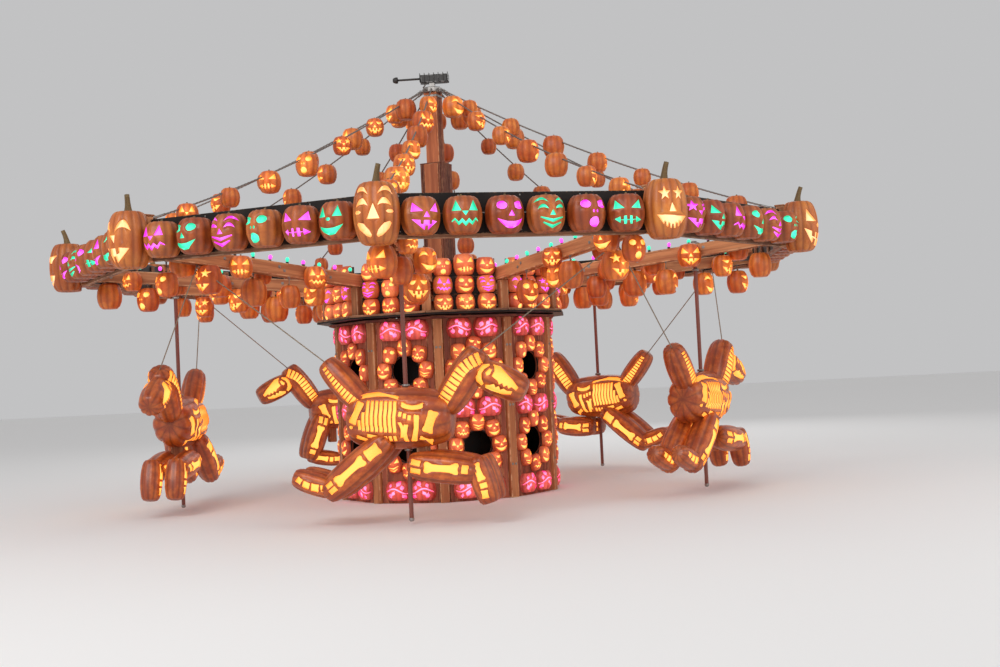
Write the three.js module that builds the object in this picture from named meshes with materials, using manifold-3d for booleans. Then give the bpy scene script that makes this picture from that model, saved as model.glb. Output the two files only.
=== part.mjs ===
// A ten-sided fairground carousel dressed with carved pumpkins.
// Millimetres, +Z up, ground at z = 0, origin under the middle of the drum.
// Compass angles run from -Y towards +X, so they grow anticlockwise seen from above.
import * as THREE from "three";
import { mergeVertices } from "three/addons/utils/BufferGeometryUtils.js";
import Module from "manifold-3d";

const wasm = await Module();
wasm.setup();

// Whole machine
const sides = 10;
const step = 360 / sides;
const halfStep = THREE.MathUtils.degToRad(step / 2);
const seat = 0.4; // gap left between pieces that rest on each other
const canopyTurn = -7.1; // how far the canopy stands turned at rest, degrees
const drumTurn = -3; // how far the drum stands turned, degrees

// Static drum in the middle
const drumRadius = 1236; // to its corners
const drumHeight = 1896;
const panelFace = 1160; // outer face of a panel, from the axis
const panelThickness = 22;
const drumPostWidth = 95;
const drumPostDepth = 70;
const panelLap = 20; // how far a panel runs on behind its post
const panelGap = 0.6;
const portRadius = 150;
const portSides = 8;
const wreathCount = 8;
const wreathRadius = 236; // to the middle of a wreath pumpkin
const wreathPumpkin = 165;
const wreathDepth = 68;
const wreathSink = 8; // how far a wreath is let into its panel
const lobeTurn = 0.6; // half the outer angle of one lobe
const wreathHeights = [570, 1375];
const vineHeights = [130, 965, 1792];
const vinePumpkin = { width: 280, height: 205, depth: 75, aside: 145 };
const lidRadius = 1300;
const lidThickness = 22;
const postWidth = 200;
const bearingRadius = 140;
const bearingTop = 1941;
const bearingSides = 16;

// Mast, its corner between two arms at the front
const mastWidth = 275;
const mastShoulder = 3700;
const mastNeck = 157;
const mastTop = 4580;
const mastLap = 20;
const hubFace = 225; // flat faces that the arms meet, from the axis
const hubBottom = 2150;
const hubTop = 2360;
const collarFace = 112;
const collarDepth = 60;

// Lamp bar on the mast, its heights above the mast
const headFoot = { half: 30, height: 70 };
const headBar = { from: -140, to: 190, half: 60, bottom: 60, top: 170 };
const headArm = { from: -410, to: -130, half: 14, middle: 118 };
const headLamp = { from: -450, to: -395, half: 36 };
const headStrut = { length: 130, width: 16, turn: 0.9, middle: [-68, 0, 62] };

// Arms and outer ring
const ringRadius = 4000; // to the middle of a corner pumpkin
const ringHeight = 2630;
const plankThickness = 38;
const plankDepth = 130;
const plankGap = 52;
const armHalfWidth = plankGap / 2 + plankThickness;
const armRise = 0.0829; // rise of the arm for each unit outwards
const armTopAtAxis = 2298;
const cornerPostIn = 3790;
const cornerPostOut = 3880;
const cornerPostTop = 2850;
const cornerPostBottom = 2440;
const headLap = 10; // how far a carved pumpkin is let into what holds it
const cornerPumpkin = { width: 390, height: 500 };
const stem = { radius: 24, taper: 0.6, height: 150, lean: 0.15, lap: 15 };
const beamRow = { places: [2000, 2450, 2900, 3350], size: 225, tall: 0.95, aside: 0.34 };
const hungRow = { places: [1850, 2250, 2620, 3200, 3600], size: 235, tall: 1.05, drop: 175, sway: 45 };
const hangerRadius = 8;
const fasciaFace = 3658; // outer face of the boards, from the axis
const fasciaThickness = 18;
const fasciaHeight = 380;
const railHeight = 34;
const railDepth = 42;
const rowCount = 6;
const rowPitch = 353;
const rowHeight = 2605;
const rowPumpkin = { width: 310, height: 306, depth: 155, centre: 3800 };

// Crown of lit pumpkins round the hub
const crownFace = 1245; // face of the boards that the pumpkins sit against
const crownRadius = 1420; // corners of the bottom board
const crownInner = 1090;
const crownBottom = 1935;
const crownBoard = 18;
const crownTop = 2500;
const crownPostIn = 1270;
const crownPostOut = 1350;
const crownPostHalf = 45;
const crownPitch = { first: 94, across: 230, up: 187 };
const crownPumpkin = { width: 208, height: 185, depth: 95 };

// Roof cables
const cableRadius = 9;
const cableSag = 115;
const cableLowEnd = 2832;
const cableSides = 4;
const cableSteps = 6;
const strung = { count: 7, first: 0.09, last: 0.89, size: 215, tall: 0.95, below: 0.36 };

// Horses
const horseRadius = 2920;
const poleRadius = 21;
const poleBottom = 25;
const poleCap = { width: 120, height: 12 };
const legOffset = 125;
const torsoSlim = 0.86; // width of the torso for each unit of its depth
const boreMiddle = 945;
const boreLength = 1400;

// Pumpkins of a horse, each from one point to another: forwards and up
const horseMiddle = {
  torso: { from: [-535, 950], to: [425, 940], width: 560 },
  neck: { from: [345, 1000], to: [700, 1510], width: 310 },
  head: { from: [650, 1345], to: [1090, 1130], width: 290 },
  tail: { from: [-365, 1040], to: [-745, 1475], width: 265 },
};
const hindLegs = {
  upperHind: { from: [-130, 770], to: [-745, 290], width: 280 },
  lowerHind: { from: [-640, 330], to: [-1040, 460], width: 215 },
};
const frontLegs = {
  bent: {
    upper: { from: [35, 540], to: [680, 460], width: 280 },
    lower: { from: [640, 585], to: [760, 185], width: 225 },
  },
  level: {
    upper: { from: [20, 540], to: [560, 570], width: 260 },
    lower: { from: [500, 575], to: [880, 640], width: 200 },
  },
  folded: {
    upper: { from: [270, 880], to: [480, 290], width: 280 },
    lower: { from: [460, 330], to: [40, 270], width: 205 },
  },
};
const legBlock = { low: [-60, 90, 500], high: [60, 190, 760] };

// How each horse hangs: turned on its pole, degrees, and the pose of its front legs
const horseStances = [
  { turn: -8, front: "bent" },
  { turn: -8, front: "bent" },
  { turn: 7, front: "level" },
  { turn: -12, front: "folded" },
  { turn: -14, front: "bent" },
];

function material(color, roughness, metalness = 0) {
  return new THREE.MeshStandardMaterial({ color, roughness, metalness });
}

const finish = {
  panel: () => material(0x7a3520, 0.7),
  timber: () => material(0xa35a2c, 0.7),
  black: () => material(0x15100e, 0.6),
  pumpkin: () => material(0xc2571d, 0.5),
  steel: () => material(0x5a524c, 0.45, 0.8),
  pole: () => material(0x6e2c1c, 0.4, 0.5),
  horse: () => material(0xa8481a, 0.5),
};

// Closed mesh to solid, keeping only its positions
function solid(geometry) {
  const bare = geometry.clone();
  bare.deleteAttribute("normal");
  bare.deleteAttribute("uv");
  const merged = mergeVertices(bare, 1e-3);
  return new wasm.Manifold(
    new wasm.Mesh({
      numProp: 3,
      vertProperties: new Float32Array(merged.attributes.position.array),
      triVerts: new Uint32Array(merged.index.array),
    }),
  );
}

function geometryOf(body) {
  const mesh = body.asOriginal().simplify(0.01).getMesh();
  const geometry = new THREE.BufferGeometry();
  geometry.setAttribute("position", new THREE.BufferAttribute(mesh.vertProperties, 3));
  geometry.setIndex(new THREE.BufferAttribute(mesh.triVerts, 1));
  geometry.computeVertexNormals();
  return geometry;
}

function join(pieces) {
  return pieces.map(solid).reduce((whole, piece) => whole.add(piece));
}

function cut(body, pieces) {
  return pieces.map(solid).reduce((whole, piece) => whole.subtract(piece), body);
}

// Box given by its lowest and highest corners
function box(low, high) {
  const size = high.map((value, i) => value - low[i]);
  return new THREE.BoxGeometry(...size).translate(...low.map((value, i) => value + size[i] / 2));
}

// Upright prism with flat faces turned to the arms
function prism(facesAt, bottom, top, count = sides) {
  const radius = facesAt / Math.cos(Math.PI / count);
  return new THREE.CylinderGeometry(radius, radius, top - bottom, count)
    .rotateX(Math.PI / 2)
    .translate(0, 0, (bottom + top) / 2);
}

// Whole pumpkin with its axis upright, as a few flat facets
function pumpkin(width, height, count = 5) {
  const profile = [
    [0, -0.47],
    [0.44, -0.3],
    [0.44, 0.3],
    [0, 0.44],
  ];
  const points = profile.map(([r, z]) => new THREE.Vector2((r * width) / 0.9, z * height * 1.04));
  return new THREE.LatheGeometry(points, count).rotateX(Math.PI / 2);
}

// Larger pumpkin with a round belly
const pumpkinTop = 0.46;

function bigPumpkin(width, height, count = 8) {
  const profile = [
    [0, -0.47],
    [0.33, -0.45],
    [0.5, 0],
    [0.36, 0.43],
    [0, pumpkinTop],
  ];
  const points = profile.map(([r, z]) => new THREE.Vector2(r * width, z * height));
  return new THREE.LatheGeometry(points, count).rotateX(Math.PI / 2);
}

// Front of a pumpkin standing out along +X from a board at x = 0
function pumpkinFront(width, height, depth) {
  const points = [
    [0, -0.1],
    [0.5, -0.1],
    [0.4, 0.65],
    [0, 1],
  ].map(([r, x]) => new THREE.Vector2(r, x));
  return new THREE.LatheGeometry(points, 5)
    .rotateZ(-Math.PI / 2)
    .scale(depth, height, width)
    .rotateX(Math.PI / 2);
}

// No vertex stays behind the plane x = limit
function flattenBack(geometry, limit) {
  const position = geometry.attributes.position;
  for (let i = 0; i < position.count; i += 1) {
    position.setX(i, Math.max(position.getX(i), limit));
  }
  return geometry;
}

// Small even spread of sizes, the same each time
function spread(i, j) {
  return 1 + 0.12 * Math.sin(2.4 * i + 1.7 * j);
}

// Group whose +X points outwards at a compass angle
function sector(parent, angle) {
  const group = new THREE.Group();
  group.rotation.z = THREE.MathUtils.degToRad(angle - 90);
  parent.add(group);
  return group;
}

function addNode(parent, name, body, surface) {
  const mesh = new THREE.Mesh(geometryOf(body), surface);
  mesh.name = name;
  parent.add(mesh);
  return mesh;
}

const number = (k) => String(k + 1).padStart(2, "0");

// Drum bay: a panel with one corner post, two wreaths round open ports and three bands of pumpkins
function lobedRing(height) {
  const outline = new THREE.Shape();
  const points = [];
  for (let lobe = 0; lobe < wreathCount; lobe += 1) {
    const middle = (lobe * 2 * Math.PI) / wreathCount;
    const centre = new THREE.Vector2(Math.cos(middle), Math.sin(middle)).multiplyScalar(wreathRadius);
    for (const turn of [-lobeTurn, lobeTurn]) {
      const spoke = new THREE.Vector2(Math.cos(middle + turn), Math.sin(middle + turn));
      points.push(centre.clone().add(spoke.multiplyScalar(wreathPumpkin / 2)));
    }
  }
  outline.setFromPoints(points);
  return new THREE.ExtrudeGeometry(outline, { depth: wreathDepth, bevelEnabled: false })
    .rotateX(Math.PI / 2)
    .rotateZ(Math.PI / 2)
    .translate(panelFace - wreathSink, 0, height);
}

function portCutter(height) {
  const turn = Math.PI / portSides;
  return new THREE.CylinderGeometry(portRadius, portRadius, 4 * wreathDepth, portSides, 1, false, turn)
    .rotateZ(Math.PI / 2)
    .translate(panelFace, 0, height);
}

function drumPost(turn) {
  const middle = drumRadius - drumPostDepth / 2;
  return new THREE.BoxGeometry(drumPostDepth, drumPostWidth, drumHeight)
    .translate(middle, 0, drumHeight / 2)
    .rotateZ(turn);
}

function drumBay() {
  const panelBack = panelFace - panelThickness;
  const postSide = panelBack * Math.tan(halfStep) - drumPostWidth / 2 / Math.cos(halfStep);
  const panel = box([panelBack, -postSide + panelGap, 0], [panelFace, postSide + panelLap, drumHeight]);
  const pieces = [panel, drumPost(halfStep)];
  for (const height of wreathHeights) {
    pieces.push(lobedRing(height));
  }
  for (const height of vineHeights) {
    for (const side of [-1, 1]) {
      const front = pumpkinFront(vinePumpkin.width, vinePumpkin.height, vinePumpkin.depth);
      pieces.push(front.translate(panelFace, side * vinePumpkin.aside, height));
    }
  }
  return cut(join(pieces), wreathHeights.map(portCutter));
}

function drumLid() {
  const bottom = drumHeight + seat;
  const outer = prism(lidRadius * Math.cos(halfStep), bottom, bottom + lidThickness).rotateZ(halfStep);
  const hole = prism(bearingRadius + seat, bottom - lidThickness, bottom + 2 * lidThickness, bearingSides);
  return cut(solid(outer), [hole]);
}

// Mast with its hub and the collar of the roof cables
function mast() {
  const lower = box(
    [-mastWidth / 2, -mastWidth / 2, bearingTop + seat],
    [mastWidth / 2, mastWidth / 2, mastShoulder],
  );
  const upper = box(
    [-mastNeck / 2, -mastNeck / 2, mastShoulder - mastLap],
    [mastNeck / 2, mastNeck / 2, mastTop],
  );
  return join([
    lower.rotateZ(-halfStep),
    upper.rotateZ(-halfStep),
    prism(hubFace, hubBottom, hubTop),
    prism(collarFace, mastTop - collarDepth, mastTop),
  ]);
}

// Lamp bar on top of the mast
function mastHead() {
  const foot = mastTop + seat;
  const lampHeight = foot + headArm.middle;
  const arm = headArm.half;
  const lamp = headLamp.half;
  const strut = new THREE.BoxGeometry(headStrut.length, headStrut.width, headStrut.width).rotateY(headStrut.turn);
  return join([
    box([-headFoot.half, -headFoot.half, foot], [headFoot.half, headFoot.half, foot + headFoot.height]),
    box([headBar.from, -headBar.half, foot + headBar.bottom], [headBar.to, headBar.half, foot + headBar.top]),
    box([headArm.from, -arm, lampHeight - arm], [headArm.to, arm, lampHeight + arm]),
    box([headLamp.from, -lamp, lampHeight - lamp], [headLamp.to, lamp, lampHeight + lamp]),
    strut.translate(...headStrut.middle).translate(0, 0, foot),
  ]);
}

function armTop(radius) {
  return armTopAtAxis + armRise * radius;
}

function plank(side) {
  const start = hubFace + seat;
  const end = cornerPostOut;
  const outline = new THREE.Shape();
  outline.moveTo(start, armTop(start));
  outline.lineTo(start, armTop(start) - plankDepth);
  outline.lineTo(end, armTop(end) - plankDepth);
  outline.lineTo(end, armTop(end));
  return new THREE.ExtrudeGeometry(outline, { depth: plankThickness, bevelEnabled: false })
    .rotateX(Math.PI / 2)
    .translate(0, (side * (plankGap + plankThickness)) / 2 + plankThickness / 2, 0);
}

// Corner pumpkin of the ring, flat at the back where it meets its post
function cornerHead() {
  const head = bigPumpkin(cornerPumpkin.width, cornerPumpkin.height).translate(ringRadius, 0, ringHeight);
  const top = ringHeight + cornerPumpkin.height * pumpkinTop;
  const stalk = new THREE.CylinderGeometry(stem.radius * stem.taper, stem.radius, stem.height, 5)
    .rotateX(Math.PI / 2)
    .rotateY(stem.lean)
    .translate(ringRadius, 0, top + stem.height / 2 - stem.lap);
  return [flattenBack(head, cornerPostOut - headLap), stalk];
}

function beamPumpkins(k) {
  return beamRow.places.map((radius, i) => {
    const size = beamRow.size * spread(k, i);
    const side = (i + k) % 2 ? 1 : -1;
    return pumpkin(size, size * beamRow.tall).translate(
      radius,
      side * (armHalfWidth + beamRow.aside * size),
      armTop(radius) - plankDepth + headLap,
    );
  });
}

function hanger(bottom, top) {
  return new THREE.CylinderGeometry(hangerRadius, hangerRadius, top - bottom, 3)
    .rotateX(Math.PI / 2)
    .translate(0, 0, (bottom + top) / 2);
}

function hungPumpkins(k) {
  return hungRow.places.flatMap((radius, i) => {
    const size = hungRow.size * spread(k + 3, i);
    const drop = hungRow.drop + hungRow.sway * Math.sin(1.9 * k + 2.3 * i);
    const under = armTop(radius) - plankDepth;
    const side = (i % 2 ? 1 : -1) * (plankGap + plankThickness) * 0.5;
    return [
      pumpkin(size, size * hungRow.tall).translate(radius, side, under - drop),
      hanger(under - drop, under + headLap).translate(radius, side, 0),
    ];
  });
}

function arm(k) {
  return join([
    plank(-1),
    plank(1),
    box([cornerPostIn, -armHalfWidth, cornerPostBottom], [cornerPostOut, armHalfWidth, cornerPostTop]),
    box(
      [crownPostIn, -crownPostHalf, crownBottom + crownBoard + seat],
      [crownPostOut, crownPostHalf, armTop(crownPostIn) - headLap / 2],
    ),
    ...cornerHead(),
    ...beamPumpkins(k),
    ...hungPumpkins(k),
  ]);
}

// Ring board with its bottom rail and a row of pumpkins
function fascia() {
  const back = fasciaFace - fasciaThickness;
  const railIn = fasciaFace - railDepth;
  const reach = (inner) => (inner * Math.sin(halfStep) - armHalfWidth - seat) / Math.cos(halfStep);
  const bottom = ringHeight - fasciaHeight / 2;
  const pieces = [
    box([back, -reach(back), bottom], [fasciaFace, reach(back), bottom + fasciaHeight]),
    box([railIn, -reach(railIn), bottom], [fasciaFace, reach(railIn), bottom + railHeight]),
  ];
  for (let i = 0; i < rowCount; i += 1) {
    const head = pumpkin(rowPumpkin.width, rowPumpkin.height, 6)
      .scale(rowPumpkin.depth / (rowPumpkin.width / 2) / Math.cos(Math.PI / 6), 1, 1)
      .translate(rowPumpkin.centre, (i - (rowCount - 1) / 2) * rowPitch, rowHeight);
    pieces.push(flattenBack(head, fasciaFace - fasciaThickness / 2));
  }
  return join(pieces);
}

// Two sides of the crown on one bottom board that bends at an arm
function crownTray() {
  const plate = new THREE.Shape();
  const place = (radius, turn, shift) => {
    const angle = THREE.MathUtils.degToRad(turn);
    plate[shift.start ? "moveTo" : "lineTo"](
      radius * Math.cos(angle) + shift.by * Math.sin(angle),
      radius * Math.sin(angle) - shift.by * Math.cos(angle),
    );
  };
  place(crownRadius, -step, { start: true, by: -seat / 2 });
  place(crownRadius, 0, { by: 0 });
  place(crownRadius, step, { by: seat / 2 });
  place(crownInner, step, { by: seat / 2 });
  place(crownInner, 0, { by: 0 });
  place(crownInner, -step, { by: -seat / 2 });
  const pieces = [
    new THREE.ExtrudeGeometry(plate, { depth: crownBoard, bevelEnabled: false }).translate(0, 0, crownBottom),
  ];
  const back = crownFace - crownBoard;
  const reach = (back * Math.sin(halfStep) - armHalfWidth - seat) / Math.cos(halfStep);
  for (const side of [-1, 1]) {
    const parts = [box([back, -reach, crownBottom + crownBoard / 2], [crownFace, reach, crownTop])];
    for (let row = 0; row < 3; row += 1) {
      for (let column = -1; column <= 1; column += 1) {
        const up = crownBottom + crownBoard + crownPitch.first + row * crownPitch.up;
        parts.push(
          pumpkinFront(crownPumpkin.width, crownPumpkin.height, crownPumpkin.depth).translate(
            crownFace,
            column * crownPitch.across,
            up,
          ),
        );
      }
    }
    pieces.push(...parts.map((piece) => piece.rotateZ(side * halfStep)));
  }
  return join(pieces);
}

// Sagging cable from the mast collar to a corner post, with the pumpkins strung on it
function roofCable(k) {
  const high = mastTop - collarDepth / 2;
  const fall = (high - cableLowEnd) / (cornerPostIn - collarFace);
  const ends = cableRadius * fall + seat;
  const start = new THREE.Vector3(collarFace + ends, 0, high);
  const finishPoint = new THREE.Vector3(cornerPostIn - ends, 0, cableLowEnd);
  const middle = start.clone().add(finishPoint).multiplyScalar(0.5);
  middle.z -= 2 * cableSag;
  const path = new THREE.QuadraticBezierCurve3(start, middle, finishPoint);
  const section = new THREE.Shape();
  section.setFromPoints(
    Array.from({ length: cableSides }, (_, i) => {
      const angle = (2 * Math.PI * i) / cableSides;
      return new THREE.Vector2(Math.cos(angle), Math.sin(angle)).multiplyScalar(cableRadius);
    }),
  );
  const cable = { steps: cableSteps, extrudePath: path, bevelEnabled: false };
  const pieces = [new THREE.ExtrudeGeometry(section, cable)];
  for (let i = 0; i < strung.count; i += 1) {
    const at = path.getPoint(strung.first + ((strung.last - strung.first) * i) / (strung.count - 1));
    const size = strung.size * spread(k + 5, i);
    pieces.push(pumpkin(size, size * strung.tall).translate(at.x, 0, at.z - strung.below * size));
  }
  return join(pieces);
}

// Round pole from its cap on the arm to just above the ground
function horsePole() {
  const cap = armTop(horseRadius + poleCap.width / 2) + seat;
  const top = cap + poleCap.height / 2;
  return join([
    new THREE.CylinderGeometry(poleRadius, poleRadius, top - poleBottom, 8)
      .rotateX(Math.PI / 2)
      .translate(horseRadius, 0, (top + poleBottom) / 2),
    box(
      [horseRadius - poleCap.width / 2, -poleCap.width / 2, cap],
      [horseRadius + poleCap.width / 2, poleCap.width / 2, cap + poleCap.height],
    ),
  ]);
}

// Long pumpkin laid between two points of the horse: forwards, up, and a sideways offset
function limb({ from, to, width }, sideways = 0, count = 5) {
  const start = new THREE.Vector3(sideways, from[0], from[1]);
  const end = new THREE.Vector3(sideways, to[0], to[1]);
  const along = end.clone().sub(start);
  const length = along.length();
  const profile = [
    [0, 0],
    [0.5, 0.2],
    [0.5, 0.8],
    [0, 1],
  ];
  const points = profile.map(([r, t]) => new THREE.Vector2(r * width, t * length));
  const turn = new THREE.Quaternion().setFromUnitVectors(new THREE.Vector3(0, 1, 0), along.normalize());
  return new THREE.LatheGeometry(points, count).applyQuaternion(turn).translate(start.x, start.y, start.z);
}

function horse({ turn, front }) {
  const legs = [...Object.values(hindLegs), ...Object.values(frontLegs[front])];
  const pieces = [
    limb(horseMiddle.torso, 0, 8).scale(torsoSlim, 1, 1),
    limb(horseMiddle.neck),
    limb(horseMiddle.head),
    limb(horseMiddle.tail),
    box(legBlock.low, legBlock.high),
  ];
  for (const side of [-1, 1]) {
    pieces.push(...legs.map((leg) => limb(leg, side * legOffset)));
  }
  const bore = new THREE.CylinderGeometry(poleRadius + seat, poleRadius + seat, boreLength, 8)
    .rotateX(Math.PI / 2)
    .translate(0, 0, boreMiddle);
  return cut(join(pieces).rotate([0, 0, turn]), [bore]).translate([horseRadius, 0, 0]);
}

const carousel = new THREE.Group();

for (let k = 0; k < sides; k += 1) {
  const bay = sector(carousel, step * (k + 0.5) + drumTurn);
  addNode(bay, "drum_bay_" + number(k), drumBay(), finish.panel());
}
const drumSector = sector(carousel, drumTurn);
addNode(drumSector, "drum_lid", drumLid(), finish.panel());
const postBox = box([-postWidth / 2, -postWidth / 2, 0], [postWidth / 2, postWidth / 2, drumHeight - seat]);
addNode(drumSector, "centre_post", solid(postBox), finish.timber());
const bearing = solid(prism(bearingRadius, drumHeight, bearingTop, bearingSides));
addNode(drumSector, "turntable_bearing", bearing, finish.steel());

const canopy = new THREE.Group();
canopy.rotation.z = THREE.MathUtils.degToRad(canopyTurn);
carousel.add(canopy);
const front = sector(canopy, 0);
addNode(front, "mast", mast(), finish.timber());
addNode(sector(canopy, 90), "mast_head", mastHead(), finish.black());
for (let k = 0; k < sides; k += 1) {
  const spoke = sector(canopy, step * k);
  addNode(spoke, "arm_" + number(k), arm(k), finish.timber());
  addNode(spoke, "roof_cable_" + number(k), roofCable(k), finish.pumpkin());
  addNode(sector(canopy, step * (k + 0.5)), "fascia_" + number(k), fascia(), finish.black());
  if (k % 2 === 0) {
    const pair = k / 2;
    addNode(spoke, "crown_tray_" + number(pair), crownTray(), finish.black());
    addNode(spoke, "horse_pole_" + (pair + 1), horsePole(), finish.pole());
    addNode(spoke, "horse_" + (pair + 1), horse(horseStances[pair]), finish.horse());
  }
}

export default carousel;
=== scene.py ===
from math import cos, pi, radians, sin

import bpy
import numpy as np
from mathutils import Matrix, Vector
from mathutils.geometry import delaunay_2d_cdt


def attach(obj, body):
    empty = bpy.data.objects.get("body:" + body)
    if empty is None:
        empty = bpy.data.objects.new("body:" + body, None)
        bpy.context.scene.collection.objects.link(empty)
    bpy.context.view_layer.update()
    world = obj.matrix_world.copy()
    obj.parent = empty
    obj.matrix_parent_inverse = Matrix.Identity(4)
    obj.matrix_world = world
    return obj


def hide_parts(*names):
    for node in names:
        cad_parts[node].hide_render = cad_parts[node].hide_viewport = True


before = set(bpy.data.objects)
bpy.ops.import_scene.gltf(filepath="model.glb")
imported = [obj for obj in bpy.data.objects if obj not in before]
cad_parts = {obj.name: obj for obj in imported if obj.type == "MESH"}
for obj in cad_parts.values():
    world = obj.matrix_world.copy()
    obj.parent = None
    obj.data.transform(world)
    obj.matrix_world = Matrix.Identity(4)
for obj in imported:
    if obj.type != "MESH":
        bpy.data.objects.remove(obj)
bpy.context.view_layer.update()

# camera, with its focal length in pixels of a picture 1000 wide
view = {"place": (0.0, -13.73, 1.294), "yaw": 2.65, "pitch": 1.91, "roll": 2.76, "focal": 1212.0, "width": 1000.0}


def makeCamera():
    yaw, pitch, roll = (radians(view[key]) for key in ("yaw", "pitch", "roll"))
    forward = np.array([sin(yaw) * cos(pitch), cos(yaw) * cos(pitch), sin(pitch)])
    level = np.array([cos(yaw), -sin(yaw), 0.0])
    upright = np.cross(level, forward)
    right = level * cos(roll) - upright * sin(roll)
    up = level * sin(roll) + upright * cos(roll)
    data = bpy.data.cameras.new("fairView")
    data.sensor_width = 36.0
    data.lens = view["focal"] / view["width"] * data.sensor_width
    camera = bpy.data.objects.new("fairView", data)
    bpy.context.scene.collection.objects.link(camera)
    turned = Matrix([list(row) for row in np.column_stack([right, up, -forward])]).to_4x4()
    camera.matrix_world = Matrix.Translation(view["place"]) @ turned
    bpy.context.scene.camera = camera


makeCamera()
print("camera set")

# sizes that many pieces share; compass angles are in degrees and run from -Y towards +X
sides = 10
stepAngle = 360 / sides
halfStep = radians(stepAngle / 2)
canopyTurn = -7.1
chance = np.random.default_rng(31)
looks = {}  # materials by name, filled further down
lookNames = [
    "ringSkin", "cornerSkin", "hungSkin", "roofSkin", "crownSkin", "drumSkin", "vineSkin", "horseSkin",
    "warmCut", "peachCut", "magentaCut", "greenCut", "amberCut", "vineCut", "stalk", "timber", "mastWood",
    "drumWood", "slatWood", "blackBoard", "railWood", "pole", "cable", "steel", "housing", "lampGlass",
    "warmLamp", "magentaLamp", "greenLamp", "darkInside", "rope",
]


# parts: dicts of whole arrays that are moved, joined and then put into one mesh for each piece
def padded(threes):
    # triangles as rows of four corners, where -1 ends them
    return np.hstack([threes, np.full((len(threes), 1), -1)])


def part(points, faces, look, smooth=True, grain=None, mark=0.0, tone=0.5, glow=0.0):
    # faces have 3 or 4 corners; look and smooth are for each face, and grain, mark, tone and glow for each
    # point, where the materials read them
    points, faces = np.asarray(points, float), np.asarray(faces, int)
    if faces.shape[1] == 3:
        faces = padded(faces)
    number = lookNames.index(look) if isinstance(look, str) else look
    new = {"points": points, "faces": faces, "grain": points.copy() if grain is None else np.asarray(grain, float)}
    for key, value in (("look", number), ("smooth", smooth)):
        new[key] = np.broadcast_to(value, len(faces)).copy()
    for key, value in (("mark", mark), ("tone", tone), ("glow", glow)):
        new[key] = np.broadcast_to(np.asarray(value, float), len(points)).copy()
    return new


def join(parts):
    # one part of several, whose faces count on from the points of the parts before
    starts = np.cumsum([0] + [len(p["points"]) for p in parts[:-1]])
    kept = ("points", "look", "smooth", "grain", "mark", "tone", "glow")
    whole = {key: np.concatenate([p[key] for p in parts]) for key in kept}
    whole["faces"] = np.vstack([np.where(p["faces"] < 0, -1, p["faces"] + start) for p, start in zip(parts, starts)])
    return whole


def moved(p, turn=None, shift=(0, 0, 0)):
    # every point turned by a 3 by 3 matrix and then shifted
    points = p["points"] if turn is None else p["points"] @ np.asarray(turn).T
    return dict(p, points=points + np.asarray(shift, float))


def sized(p, wide, tall):
    # x and y times the width, and z times the height
    return dict(p, points=p["points"] * [wide, wide, tall])


def flat(p, axis, limit, below=True):
    # no point stays behind a plane across one axis
    points = p["points"].copy()
    points[:, axis] = (np.maximum if below else np.minimum)(points[:, axis], limit)
    return dict(p, points=points)


def varied(p, tone=None):
    # the same part with a tone and a grain of its own
    tone = chance.uniform() if tone is None else tone
    return dict(p, tone=np.full(len(p["tone"]), tone), grain=p["grain"] + chance.uniform(0, 60, 3))


def relooked(p, old, new):
    # the same part with one look changed to another
    look = np.where(p["look"] == lookNames.index(old), lookNames.index(new), p["look"])
    return dict(p, look=look)


def reversedFaces(faces):
    # the same faces looking the other way; the -1 of a triangle stays last
    return np.where(faces[:, 3:] < 0, faces[:, [2, 1, 0, 3]], faces[:, ::-1])


def turnOut(p):
    # six times the volume is the sum of a . (b x c) over the triangles; below nothing, the part is inside out
    four = p["faces"][:, 3] >= 0
    threes = np.vstack([p["faces"][:, :3], p["faces"][four][:, [0, 2, 3]]])
    a, b, c = (p["points"][threes[:, i]] for i in range(3))
    if np.einsum("ij,ij->", a, np.cross(b, c)) < 0:
        p["faces"] = reversedFaces(p["faces"])
    return p


def mirrored(p):
    # the part seen in a mirror across its own side to side axis
    return dict(p, points=p["points"] * [1, -1, 1], faces=reversedFaces(p["faces"]))


# turns about an axis, as 3 by 3 matrices of cosines and sines
def aboutX(angle):
    return np.array([[1.0, 0, 0], [0, cos(angle), -sin(angle)], [0, sin(angle), cos(angle)]])


def aboutY(angle):
    return np.array([[cos(angle), 0, sin(angle)], [0, 1.0, 0], [-sin(angle), 0, cos(angle)]])


def aboutZ(angle):
    return np.array([[cos(angle), -sin(angle), 0], [sin(angle), cos(angle), 0], [0, 0, 1.0]])


def outwards(angle, onCanopy=True):
    # turns +X to point away from the axis at a compass angle
    return aboutZ(radians(angle - 90 + (canopyTurn if onCanopy else 0)))


def along(start, end):
    # turns +Z to a line that runs fore and aft or up and down, and keeps +X sideways
    z = np.asarray(end, float) - np.asarray(start, float)
    z /= np.linalg.norm(z)
    y = np.cross(z, [1.0, 0, 0])
    y /= np.linalg.norm(y)
    return np.column_stack([np.cross(y, z), y, z])


def gridFaces(rows, columns):
    # quads between the rows of a grid of points whose columns close into rings
    r, c = np.meshgrid(np.arange(rows - 1), np.arange(columns), indexing="ij")
    r, c = r.ravel() * columns, c.ravel()
    n = (c + 1) % columns
    return np.stack([r + c, r + n, r + columns + n, r + columns + c], 1)


def capped(rings, first, last):
    # rings of points, as rows by columns by 3, closed by a fan to the point before them and the one after
    rows, columns = rings.shape[:2]
    points = np.vstack([rings.reshape(-1, 3), first, last])
    c = np.arange(columns)
    n = (c + 1) % columns
    none = np.full(columns, -1)
    top = (rows - 1) * columns
    fans = [np.stack([np.full(columns, top + columns), n, c, none], 1)]
    fans.append(np.stack([np.full(columns, top + columns + 1), top + c, top + n, none], 1))
    return points, np.vstack([gridFaces(rows, columns)] + fans)


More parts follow.
